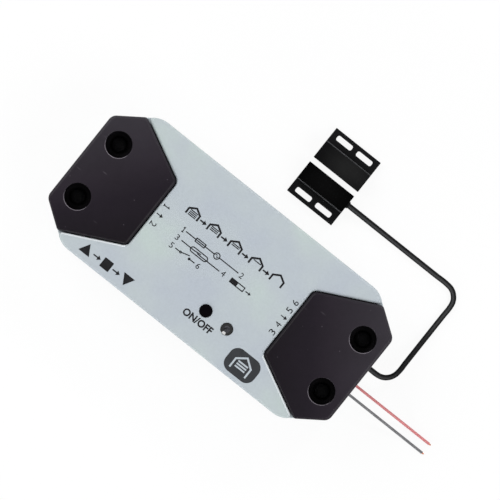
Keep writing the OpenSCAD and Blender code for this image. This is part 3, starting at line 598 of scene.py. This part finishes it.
def form(rings):
    bm = bmesh.new()
    loops = [[bm.verts.new(Vector(p) * MM) for p in ring] for ring in rings]
    n = len(loops[0])
    for a, b in zip(loops, loops[1:]):
        for i in range(n):
            bm.faces.new((a[i], a[(i + 1) % n], b[(i + 1) % n], b[i]))
    bm.faces.new(list(reversed(loops[0])))
    bm.faces.new(loops[-1])
    bmesh.ops.recalc_face_normals(bm, faces=bm.faces)
    mesh = bpy.data.meshes.new("form")
    bm.to_mesh(mesh)
    bm.free()
    return link(bpy.data.objects.new("form", mesh))


def lathe(profile, x, y):
    turns = full_turn(ROUND_SIDES)
    return form([[(x + r * math.cos(a), y + r * math.sin(a), z) for a in turns] for r, z in profile])


def lathe_x(profile, y, z):
    turns = full_turn(SLIM_SIDES)
    return form([[(x, y + r * math.cos(a), z + r * math.sin(a)) for a in turns] for x, r in profile])


def rod(d, z0, z1, x, y):
    return lathe([(d / 2, z0), (d / 2, z1)], x, y)


def rod_x(d, x0, x1, y, z):
    return lathe_x([(x0, d / 2), (x1, d / 2)], y, z)


def hole(d, z0, z1, ease, x, y):
    """Tool for a round hole down from z1, with an eased rim."""
    r = d / 2
    rim = [(r + ease * (1 - math.cos(a)), z1 - ease * (1 - math.sin(a))) for a in quarter()]
    return lathe([(r, z0)] + rim + [(r + ease, z1 + PAST)], x, y)


def box(x0, x1, y0, y1, z0, z1):
    flat = [(x0, y0), (x1, y0), (x1, y1), (x0, y1)]
    return form([[(x, y, z) for x, y in flat] for z in (z0, z1)])


def carve(main, *steps):
    """Joins and cuts main with the other forms, in order, and gives its mesh."""
    groups = []
    for how, tools in steps:
        group = bpy.data.collections.new("tools")
        for t in tools:
            group.objects.link(t)
        m = main.modifiers.new(how, "BOOLEAN")
        m.operation = how
        m.solver = "EXACT"
        m.operand_type = "COLLECTION"
        m.collection = group
        groups.append(group)
    graph = bpy.context.evaluated_depsgraph_get()
    mesh = bpy.data.meshes.new_from_object(main.evaluated_get(graph))
    for group in groups:
        for t in list(group.objects):
            bpy.data.objects.remove(t)
        bpy.data.collections.remove(group)
    bpy.data.objects.remove(main)
    return mesh


WELD, CREASE, FACE_WEIGHT = 1e-7, math.radians(32), 100


def piece(mesh, name, body, slot, node=None, move=None, paint=None, edges=()):
    """Finishes a mesh: curves shaded smooth, flat faces kept flat, the faces its edge rules pick given their
    own paints (here painted highlights, a painted sheen and a painted reflection), and set on its body.
    """
    bm = bmesh.new()
    bm.from_mesh(mesh)
    bmesh.ops.remove_doubles(bm, verts=bm.verts, dist=WELD)
    bmesh.ops.dissolve_degenerate(bm, dist=WELD, edges=bm.edges)
    bm.normal_update()
    for f in bm.faces:
        f.smooth = True
        at = f.calc_center_median() / MM
        f.material_index = next((i for i, (_, rule) in enumerate(edges, 1) if rule(f.normal, at)), 0)
    if move:
        bmesh.ops.transform(bm, matrix=move, verts=bm.verts)
    for e in bm.edges:
        e.smooth = len(e.link_faces) == 2 and e.calc_face_angle(0) < CREASE
    mesh.name = name
    mesh.materials.clear()
    for paint_name in [paint or slot] + [edge_paint for edge_paint, _ in edges]:
        mesh.materials.append(MATS[paint_name])
    bm.to_mesh(mesh)
    bm.free()
    obj = link(bpy.data.objects.new(name, mesh), body, node)
    flat = obj.modifiers.new("normals", "WEIGHTED_NORMAL")
    flat.keep_sharp = True
    flat.weight = FACE_WEIGHT


def mirrored(*corners):
    """One quarter's corners taken round all four quarters, counter-clockwise."""
    quarter_1 = [Vector(c) for c in corners]
    quarter_2 = [Vector((-c.x, c.y)) for c in reversed(quarter_1)]
    half = quarter_1 + quarter_2
    return half + [-c for c in half]


def meet(p, d, q, e):
    """Where the line from p along d meets the line from q along e."""
    return p + d * ((q - p).cross(e) / d.cross(e))


# Outlines of the shells, the caps and the cover's inside
END_HALF = HALF_W - CORNER_CUT
SIDE_HALF = HALF_L - CORNER_RUN
CASE = mirrored((HALF_L, END_HALF), (SIDE_HALF, HALF_W))
CASE_R = [END_R, SHOULDER_R, SHOULDER_R, END_R] * 2

# An outer corner's radius is larger than its rounded edge by EDGE_SPARE
EDGE_SPARE = 0.3
NOSE_X = HALF_L - CAP_L
WIDE_X, WIDE_Y = HALF_L - CAP_SHOULDER, END_HALF + CORNER_CUT * CAP_SHOULDER / CORNER_RUN
CAP_CORNERS = (
    (HALF_L, -END_HALF),
    (HALF_L, END_HALF),
    (WIDE_X, WIDE_Y),
    (NOSE_X, NOSE_HALF),
    (NOSE_X, -NOSE_HALF),
    (WIDE_X, -WIDE_Y),
)
CAP = [Vector(c) for c in CAP_CORNERS]
CAP_R = [END_R, END_R, CAP_ROUND + EDGE_SPARE, NOSE_R, NOSE_R, CAP_ROUND + EDGE_SPARE]

BITE = inset(CAP, -CAP_GAP)
BITE_WAY = BITE[2] - BITE[3]
TIP = meet(BITE[3], BITE_WAY, CASE[0], CASE[1] - CASE[0])
TIP_R, INNER_R = BROW_R + EDGE_SPARE, NOSE_R + CAP_GAP
COVER = mirrored(BITE[3], TIP, (SIDE_HALF, HALF_W))
COVER_R = [INNER_R, TIP_R, SHOULDER_R, SHOULDER_R, TIP_R, INNER_R] * 2

CAVE_SHORT, CAVE_CORNER_R = 2.0, 0.6
CAVE_X, CAVE_Y = SIDE_HALF - CAVE_SHORT, HALF_W - WALL
CAVE_IN = inset(COVER, WALL)[0]
CAVE_TIP = meet(CAVE_IN, BITE_WAY, Vector((CAVE_X, 0)), Vector((0, 1)))
CAVE = mirrored(CAVE_IN, CAVE_TIP, (CAVE_X, CAVE_Y))
CAVE_R = ([INNER_R + WALL] + [CAVE_CORNER_R] * 4 + [INNER_R + WALL]) * 2


def make_cover():
    roof = COVER_Z - ROOF_T
    low = roof - GUIDE_DEEP
    outer = form(seam(COVER, COVER_R, 1) + brow(COVER, COVER_R, COVER_Z, BROW_R))
    cave = form([level(outline(CAVE, CAVE_R), z) for z in (SEAM_Z - PAST, roof)])
    adds, bores = [], []
    for x in (-RIB_X, RIB_X):
        adds.append(box(x - RIB_T / 2, x + RIB_T / 2, -CAVE_Y - LAP, CAVE_Y + LAP, roof - RIB_H, roof + LAP))
    button, light = (BUTTON_D + BUTTON_SLACK, BUTTON_X, BUTTON_Y), (LIGHT_D + LIGHT_SLACK, LIGHT_X, LIGHT_Y)
    for d, x, y in (button, light):
        adds.append(rod(d + 2 * GUIDE_WALL, low, roof + LAP, x, y))
        bores.append(hole(d, low - PAST, COVER_Z, GUIDE_EASE, x, y))
    mesh = carve(outer, ("DIFFERENCE", [cave]), ("UNION", adds), ("DIFFERENCE", bores))

    def lit(n, c):
        """Painted highlight on the upper edge beside a cap on the -Y half, where it looks towards +Y."""
        steepest, flattest, towards = 0.3, 0.98, 0.15
        on_brow = c.z > COVER_Z - BROW_R and steepest < n.z < flattest
        return on_brow and n.y > towards and c.y < 0 and abs(c.x) > NOSE_X

    piece(mesh, "cover_shell", "controller", "cover_grey", "top_cover", edges=[("cover_edge_highlight", lit)])


def make_cap(name, node, turn):
    outer = form(seam(CAP, CAP_R, 1) + brow(CAP, CAP_R, CAP_Z, CAP_ROUND))
    room = form([level(outline(CAP, CAP_R, WALL), z) for z in (SEAM_Z - PAST, CAP_Z - WALL)])
    seat = SEAM_Z + SEAT_T
    adds, cuts = [], []
    for y in (-WELL_Y, WELL_Y):
        adds.append(rod(WELL_D + 2 * WELL_WALL, SEAM_Z, CAP_Z - WALL + LAP, WELL_X, y))
        cuts.append(hole(WELL_D, seat, CAP_Z, WELL_EASE, WELL_X, y))
        cuts.append(rod(CAP_SCREW_HOLE, SEAM_Z - PAST, seat + PAST, WELL_X, y))
    wall_x, half, top = HALF_L - WALL, CAP_TONGUE_HALF, SEAM_Z + CAP_TONGUE_UP
    back = wall_x - TONGUE_GAP
    adds.append(box(back - CAP_TONGUE_T, back, -half, half, SEAM_Z - CAP_TONGUE_DOWN, top))
    adds.append(box(back - 2 * LAP, wall_x + LAP, -half, half, SEAM_Z, top))
    mesh = carve(outer, ("DIFFERENCE", [room]), ("UNION", adds), ("DIFFERENCE", cuts))

    def rim(n, c):
        """Painted highlight on the eased rim of a well, where it looks towards +Y once the cap is turned."""
        towards = 0.2
        out = math.hypot(c.x - WELL_X, abs(c.y) - WELL_Y) - WELL_D / 2
        return 0 < out < WELL_EASE and c.z > CAP_Z - WELL_EASE and n.y * math.cos(turn) > towards

    move = Matrix.Rotation(turn, 4, "Z")
    piece(mesh, name, "controller", "cap_black", node, move, edges=[("well_rim_highlight", rim)])


def make_base():
    outer = form(foot(CASE, CASE_R, 0, FOOT_R) + seam(CASE, CASE_R, -1)[::-1])
    room = form([level(outline(CASE, CASE_R, WALL), z) for z in (FLOOR_T, SEAM_Z + PAST)])
    low, wall_y = FLOOR_T - LAP, HALF_W - WALL
    face = wall_y - TONGUE_GAP
    adds, cuts = [], []
    for sx in (-1, 1):
        x0, x1 = sx * TONGUE_X - TONGUE_HALF, sx * TONGUE_X + TONGUE_HALF
        for sy in (-1, 1):
            x, y = sx * WELL_X, sy * WELL_Y
            adds.append(rod(CAP_POST_D, low, SEAM_Z, x, y))
            cuts.append(rod(CAP_POST_BORE, CAP_POST_BORE_Z, SEAM_Z + PAST, x, y))
            x, y = sx * BOARD_POST_X, sy * BOARD_POST_Y
            adds.append(rod(BOARD_POST_D, low, BOARD_Z, x, y))
            cuts.append(rod(BOARD_POST_BORE, BOARD_POST_BORE_Z, BOARD_Z + PAST, x, y))
            y0, y1 = sorted((sy * (face - TONGUE_T), sy * face))
            adds.append(box(x0, x1, y0, y1, SEAM_Z - TONGUE_RISE, SEAM_Z + TONGUE_RISE))
            y0, y1 = sorted((sy * (face - 2 * LAP), sy * (wall_y + LAP)))
            adds.append(box(x0, x1, y0, y1, SEAM_Z - TONGUE_RISE, SEAM_Z))
        adds.append(rod(WALL_BOSS_D, low, WALL_BOSS_Z, sx * WALL_HOLE_X, 0))
        cuts.append(rod(WALL_HOLE_D, -PAST, WALL_BOSS_Z + PAST, sx * WALL_HOLE_X, 0))
    cuts.append(rod_x(MAINS_D, -HALF_L - PAST, -HALF_L + WALL + PAST, 0, MAINS_Z))
    for d, y in ((CABLE_D, CABLE_Y), (LEAD_D, RED_Y), (LEAD_D, BLACK_Y)):
        cuts.append(rod_x(d + ENTRY_SLACK, HALF_L - WALL - PAST, HALF_L + PAST, y, ENTRY_Z))
    mesh = carve(outer, ("DIFFERENCE", [room]), ("UNION", adds), ("DIFFERENCE", cuts))
    piece(mesh, "base_tray", "controller", "cover_grey", "base_shell")


def make_contact_case(name, body, node, y, turn, entry=False):
    """Slotted case of the contact or the magnet, drawn from its flange's edge and then set at y."""
    half, touch = CONTACT_L / 2, 0.01
    block = oblong(-half, half, FLANGE_W, FLANGE_W + BLOCK_W)
    flange = oblong(-half, half, 0, FLANGE_W + CASE_WALL / 2)
    block_r, flange_r = [CONTACT_R] * 4, [CONTACT_R, LEAST_R, LEAST_R, CONTACT_R]
    outer = form([level(outline(block, block_r), 0)] + brow(block, block_r, BLOCK_H, CONTACT_R))
    shelf = form([level(outline(flange, flange_r), 0)] + brow(flange, flange_r, FLANGE_T, FLANGE_EASE))
    cuts = [form([level(outline(block, block_r, CASE_WALL), z) for z in (-PAST, BLOCK_H - CASE_WALL)])]
    for x in (-SLOT_SPAN / 2, SLOT_SPAN / 2):
        run, wide = SLOT_L / 2, SLOT_W / 2
        slot = oblong(x - run, x + run, SLOT_INSET - wide, SLOT_INSET + wide)
        cuts.append(form([level(outline(slot, [SLOT_R] * 4), z) for z in (-PAST, FLANGE_T + PAST)]))
    if entry:
        d, inside = CABLE_D + CONTACT_ENTRY_SLACK, half - CASE_WALL
        cuts.append(rod_x(d, inside - PAST, half + PAST, FLANGE_W + BLOCK_W / 2, CONTACT_ENTRY_Z))
    mesh = carve(outer, ("UNION", [shelf]), ("DIFFERENCE", cuts))

    def on_block(n, c):
        return c.y > FLANGE_W - touch

    move = Matrix.Translation((CONTACT_X * MM, y * MM, 0)) @ Matrix.Rotation(turn, 4, "Z")
    # the block's faces take its block material, whose colour carries a painted sheen
    piece(mesh, name + "_shell", body, "contact_black", node, move, edges=[(name + "_block", on_block)])

    # a thin bead along the block's upper edge beside the flange, painted pale as a highlight
    near, run = FLANGE_W + BEAD_IN, half - BEAD_SHORT
    bead, bead_r = oblong(-run, run, near, near + BEAD_W), [LEAST_R] * 4
    lower = level(outline(bead, bead_r), BLOCK_H - BEAD_DOWN)
    mesh = carve(form([lower] + brow(bead, bead_r, BLOCK_H + BEAD_UP, BEAD_ROUND)))
    piece(mesh, name + "_bead", body, "contact_black", move=move, paint="bead_highlight")


# Hollow of the button's face and crown of the light's head, as radius and depth or height
DISH = ((1.5, 0.0), (0.9, 0.06), (0.02, 0.09))
CROWN = ((0.5, 0.01), (0.02, 0.02))


def make_controls():
    """Button and light, with finer edges than the solids have."""
    r, face, keeper_top = BUTTON_D / 2, COVER_Z + BUTTON_UP, KEEPER_Z + KEEPER_T
    keeper = [(r, KEEPER_Z), (KEEPER_R, KEEPER_Z), (KEEPER_R, keeper_top), (r, keeper_top)]
    dish = [(d, face - deep) for d, deep in DISH]
    profile = [(r, BUTTON_FOOT_Z)] + keeper + rounded(r, face, BUTTON_EASE) + dish
    mesh = carve(lathe(profile, BUTTON_X, BUTTON_Y))
    piece(mesh, "button_cap", "button", "button_black", "on_off_button")

    r, shoulder = LIGHT_D / 2, COVER_Z - HEAD_SUNK
    flat = shoulder + HEAD_BEVEL * math.tan(math.radians(HEAD_TILT))
    head = [(r, LIGHT_FOOT_Z), (r, shoulder), (r - HEAD_BEVEL, flat)] + [(d, flat + up) for d, up in CROWN]
    mesh = carve(lathe(head, LIGHT_X, LIGHT_Y))

    def on_top(n, c):
        return n.z > 0.95

    # the flat top of the lens is painted pale and mottled, a painted reflection
    piece(mesh, "light_lens", "controller", "clear_lens", "light_pipe", edges=[("lens_top_reflection", on_top)])


def make_collar():
    """Small bush round the cable where it leaves the contact."""
    x, y, z = CONTACT_X + CONTACT_L / 2, CONTACT_Y + FLANGE_W + BLOCK_W / 2, CONTACT_ENTRY_Z
    inner = (CABLE_D + CONTACT_ENTRY_SLACK) / 2
    outer, ease = inner + COLLAR_WALL, COLLAR_EASE
    straight = x + COLLAR_L - ease
    nose = [(straight + ease * math.sin(a), outer - ease * (1 - math.cos(a))) for a in quarter(COLLAR_STEPS)]
    bush = lathe_x([(x, outer)] + nose, y, z)
    mesh = carve(bush, ("DIFFERENCE", [rod_x(2 * inner, x - PAST, x + COLLAR_L + PAST, y, z)]))
    piece(mesh, "cable_bush", "controller", "cable_black", "sensor_collar", paint="contact_black")


def make_strands(name, end):
    """Copper of a lead's cut end."""
    x, y, z = end
    turns = full_turn(STRANDS_ROUND)
    spots = [(0.0, 0.0)] + [(STRAND_RING * math.cos(a), STRAND_RING * math.sin(a)) for a in turns]
    rods = [rod_x(STRAND_D, x - STRAND_IN, x + STRAND_OUT, y + a, z + b) for a, b in spots]
    piece(carve(rods[0], ("UNION", rods[1:])), name, "controller", "screw_bright", paint="copper")


# Printed marks
INK_T, LINE_W = 0.03, 0.34


class Print:
    """Flat marks of ink, drawn in millimetres on the cover's face."""

    def __init__(self, lift=0.0):
        self.bm = bmesh.new()
        self.lift = lift
        self.place(0, 0)

    def place(self, x, y, turn=0):
        up = (COVER_Z + self.lift) * MM
        self.move = Matrix.Translation((x * MM, y * MM, up)) @ Matrix.Rotation(math.radians(turn), 4, "Z")
        return self

    def two(self, x, y):
        """A point of the mark's underside and the one above it."""
        return [self.bm.verts.new(self.move @ (Vector((x, y, z)) * MM)) for z in (-INK_T, INK_T)]

    def patch(self, *pts):
        corners = [self.two(*p) for p in pts]
        for side in zip(*corners):
            self.bm.faces.new(side)
        for (a, b), (c, d) in zip(corners, corners[1:] + corners[:1]):
            self.bm.faces.new((a, c, d, b))
        return self

    def slab(self, x0, x1, half):
        return self.patch((x0, -half), (x1, -half), (x1, half), (x0, half))

    def stripe(self, pts, w=LINE_W, closed=False):
        """A band of even width along a line."""
        pts, rungs = [Vector(p) for p in pts], []
        for i, p in enumerate(pts):
            a = left((p - pts[i - 1]).normalized()) if i or closed else None
            b = left((pts[(i + 1) % len(pts)] - p).normalized()) if i + 1 < len(pts) or closed else a
            a = a or b
            side = (a + b) * (w / 2 / (1 + a.dot(b)))
            rungs.append(self.two(*(p - side)) + self.two(*(p + side))[::-1])
        if not closed:
            self.bm.faces.new(rungs[0])
            self.bm.faces.new(rungs[-1])
        for a, b in zip(rungs, rungs[1:] + (rungs[:1] if closed else [])):
            for i in range(4):
                self.bm.faces.new((a[i - 1], a[i], b[i], b[i - 1]))
        return self

    def line(self, x0, x1, y=0.0):
        return self.stripe([(x0, y), (x1, y)])

    def loop(self, x0, x1, half):
        return self.stripe([(x0, -half), (x1, -half), (x1, half), (x0, half)], closed=True)

    def ring(self, x, r):
        turns = full_turn(RING_SIDES)
        return self.stripe([(x + r * math.cos(a), r * math.sin(a)) for a in turns], closed=True)

    def arrow(self, x0, x1, y=0.0, w=0.3, head=0.8):
        half = head * 0.7
        self.stripe([(x0, y), (x1 - head, y)], w)
        return self.patch((x1 - head, y - half), (x1, y), (x1 - head, y + half))

    def door(self, x, w, h, shut, stroke):
        """A garage seen from the front, its door shut by so many slats out of four."""
        eaves, side = h * 0.6, w / 2 - stroke / 2
        top, pitch, slat_h, slat_half = eaves - h * 0.02, h * 0.165, h * 0.095, w * 0.29
        self.stripe([(x - side, 0), (x - side, eaves), (x, h), (x + side, eaves), (x + side, 0)], stroke)
        for k in range(shut):
            y = top - k * pitch
            self.stripe([(x - slat_half, y), (x + slat_half, y)], slat_h)
        return self

    def one(self, x, h, w=0.3):
        """A numeral 1, h high, with its stem at x."""
        foot_y = w / 2 - h / 2
        self.stripe([(x - h * 0.2, foot_y), (x + h * 0.2, foot_y)], w)
        return self.stripe([(x - h * 0.22, h * 0.27), (x, h * 0.45), (x, w - h / 2)], w)

    def digit(self, mark, x, w, h):
        return self.glyphs(mark, x - w / 2, x + w / 2, -h / 2, h / 2)

    def glyphs(self, text, x0, x1, y0, y1, weight=0.0):
        """Built-in plain letters, stretched into a box."""
        weld = 1e-5
        font = bpy.data.curves.new("glyphs", "FONT")
        font.body = text
        font.resolution_u = 4
        font.offset = weight
        obj = link(bpy.data.objects.new("glyphs", font))
        mesh = bpy.data.meshes.new_from_object(obj.evaluated_get(bpy.context.evaluated_depsgraph_get()))
        xs, ys = [[v.co[k] for v in mesh.vertices] for k in (0, 1)]
        left_x, low_y = min(xs), min(ys)
        kx, ky = (x1 - x0) / (max(xs) - left_x), (y1 - y0) / (max(ys) - low_y)
        flat = bmesh.new()
        flat.from_mesh(mesh)
        bmesh.ops.remove_doubles(flat, verts=flat.verts, dist=weld)
        pairs = {v: self.two(x0 + (v.co.x - left_x) * kx, y0 + (v.co.y - low_y) * ky) for v in flat.verts}
        for face in flat.faces:
            for side in zip(*[pairs[v] for v in face.verts]):
                self.bm.faces.new(side)
        for e in flat.edges:
            if len(e.link_faces) == 1:
                (a, b), (c, d) = [pairs[v] for v in e.verts]
                self.bm.faces.new((a, c, d, b))
        flat.free()
        bpy.data.objects.remove(obj)
        return self

    def finish(self, name, paint="print_ink"):
        bmesh.ops.recalc_face_normals(self.bm, faces=self.bm.faces)
        mesh = bpy.data.meshes.new(name)
        self.bm.to_mesh(mesh)
        self.bm.free()
        mesh.materials.append(MATS[paint])
        link(bpy.data.objects.new(name, mesh), "controller")


def print_switch_label():
    words = Print().glyphs("ON/OFF", x0=-0.75, x1=10.55, y0=-18.85, y1=-16.35, weight=0.032)
    words.finish("switch_label")


def print_doors():
    """Stages of a door opening, with arrows between them."""
    first_x, pitch, stages = -17.4, 8.47, 5
    marks = Print().place(0, 6.8)
    for k in range(stages):
        x, shut = first_x + k * pitch, stages - 1 - k
        marks.door(x, w=5.0, h=3.3, shut=shut, stroke=0.62)
        if shut:
            marks.arrow(x + 2.95, x + 5.5, y=1.1, w=0.5, head=1.2)
    marks.finish("door_marks")


def print_wiring():
    """Wiring sketch in three rows: fuse and mains load, reed contact and magnet, relay contact."""
    marks, high, wide = Print(), 1.9, 1.2
    marks.place(0, 2.25).one(-16.6, high).digit("2", 6.8, wide, high)
    wave = [(-3.8 + 0.1 * k, 0.4 * math.sin(math.pi * k / 6)) for k in range(13)]
    marks.line(-15.7, -4.2).line(-2.2, 5.5).ring(-3.2, 1.0).stripe(wave, 0.22).loop(-11.6, -8.0, 0.6)

    marks.place(0, -0.85).digit("3", -16.7, wide, high).digit("4", 1.85, 1.3, high)
    tube, tube_r = [], 0.85
    for x, start in ((-5.6, -90), (-10.4, 90)):
        tube += [(x + tube_r * math.cos(a), tube_r * math.sin(a)) for a in half_turn(start)]
    marks.stripe(tube, closed=True).stripe([(-15.1, 0), (-9.6, 0), (-7.4, 0.3)]).line(-8.6, 0.4, -0.2)
    marks.loop(4.9, 10.1, 0.7).slab(5.0, 7.5, 0.6).arrow(10.9, 12.9, w=LINE_W)

    marks.place(0, -3.95).digit("5", -16.6, wide, high).digit("6", -5.9, wide, high)
    marks.line(-15.1, -13.2).line(-9.7, -7.3).stripe([(-12.8, 0.1), (-9.9, 0.9)])
    marks.ring(-13.0, 0.28).ring(-9.5, 0.28)
    marks.finish("wiring_marks")


def print_poles():
    """Pole numbers beside each cap, with an arrow for the way the leads go."""
    marks, high, wide = Print(), 2.2, 1.4
    in_x, out_x = -25.4, 25.5
    marks.place(in_x, 4.6, -90).one(0.1, high)
    marks.place(in_x, -2.4, -90).digit("2", 0, wide, high)
    marks.place(in_x, 1.05).arrow(-1.2, 1.2, head=1.0)
    for mark, y in (("3", -5.6), ("4", -2.6), ("5", 3.2), ("6", 6.2)):
        marks.place(out_x, y, 90).digit(mark, 0, wide, high)
    marks.place(out_x, 0.3).arrow(-1.2, 1.2, head=1.0)
    marks.finish("pole_marks")


def print_cycle():
    """What one push after another does: up, stop, down."""
    marks, half, point, arrow_w, head = Print().place(0, -21.65), 1.7, 1.9, 0.42, 1.2
    marks.patch((-38.9, -half), (-34.7, -half), (-36.8, point)).arrow(-34.1, -31.2, 0, arrow_w, head)
    marks.slab(-30.5, -27.1, half).arrow(-26.4, -23.5, 0, arrow_w, head)
    marks.patch((-22.9, half), (-20.8, -point), (-18.7, half))
    marks.finish("cycle_marks")


def print_badge():
    x, y, half_w, half_h, corner_r = 24.7, -19.85, 5.7, 4.15, 3.0
    plate = oblong(x - half_w, x + half_w, y - half_h, y + half_h)
    Print().patch(*outline(plate, [corner_r] * 4)).finish("badge", "badge_ink")
    garage = Print(lift=INK_T).place(x, -22.6).door(0, w=6.6, h=5.6, shut=3, stroke=0.6)
    garage.finish("badge_door", "cover_grey")


make_base()
make_cover()
make_cap("input_cap", "input_end_cap", math.pi)
make_cap("output_cap", "output_end_cap", 0)
make_contact_case("contact", "controller", "sensor_case", CONTACT_Y, 0, entry=True)
make_contact_case("magnet", "magnet", "magnet_case", MAGNET_Y + FLANGE_W + BLOCK_W, math.pi)
make_controls()
make_collar()
print_switch_label()
print_doors()
print_wiring()
print_poles()
print_cycle()
print_badge()
make_strands("red_strands", RED[-1])
make_strands("black_strands", BLACK[-1])
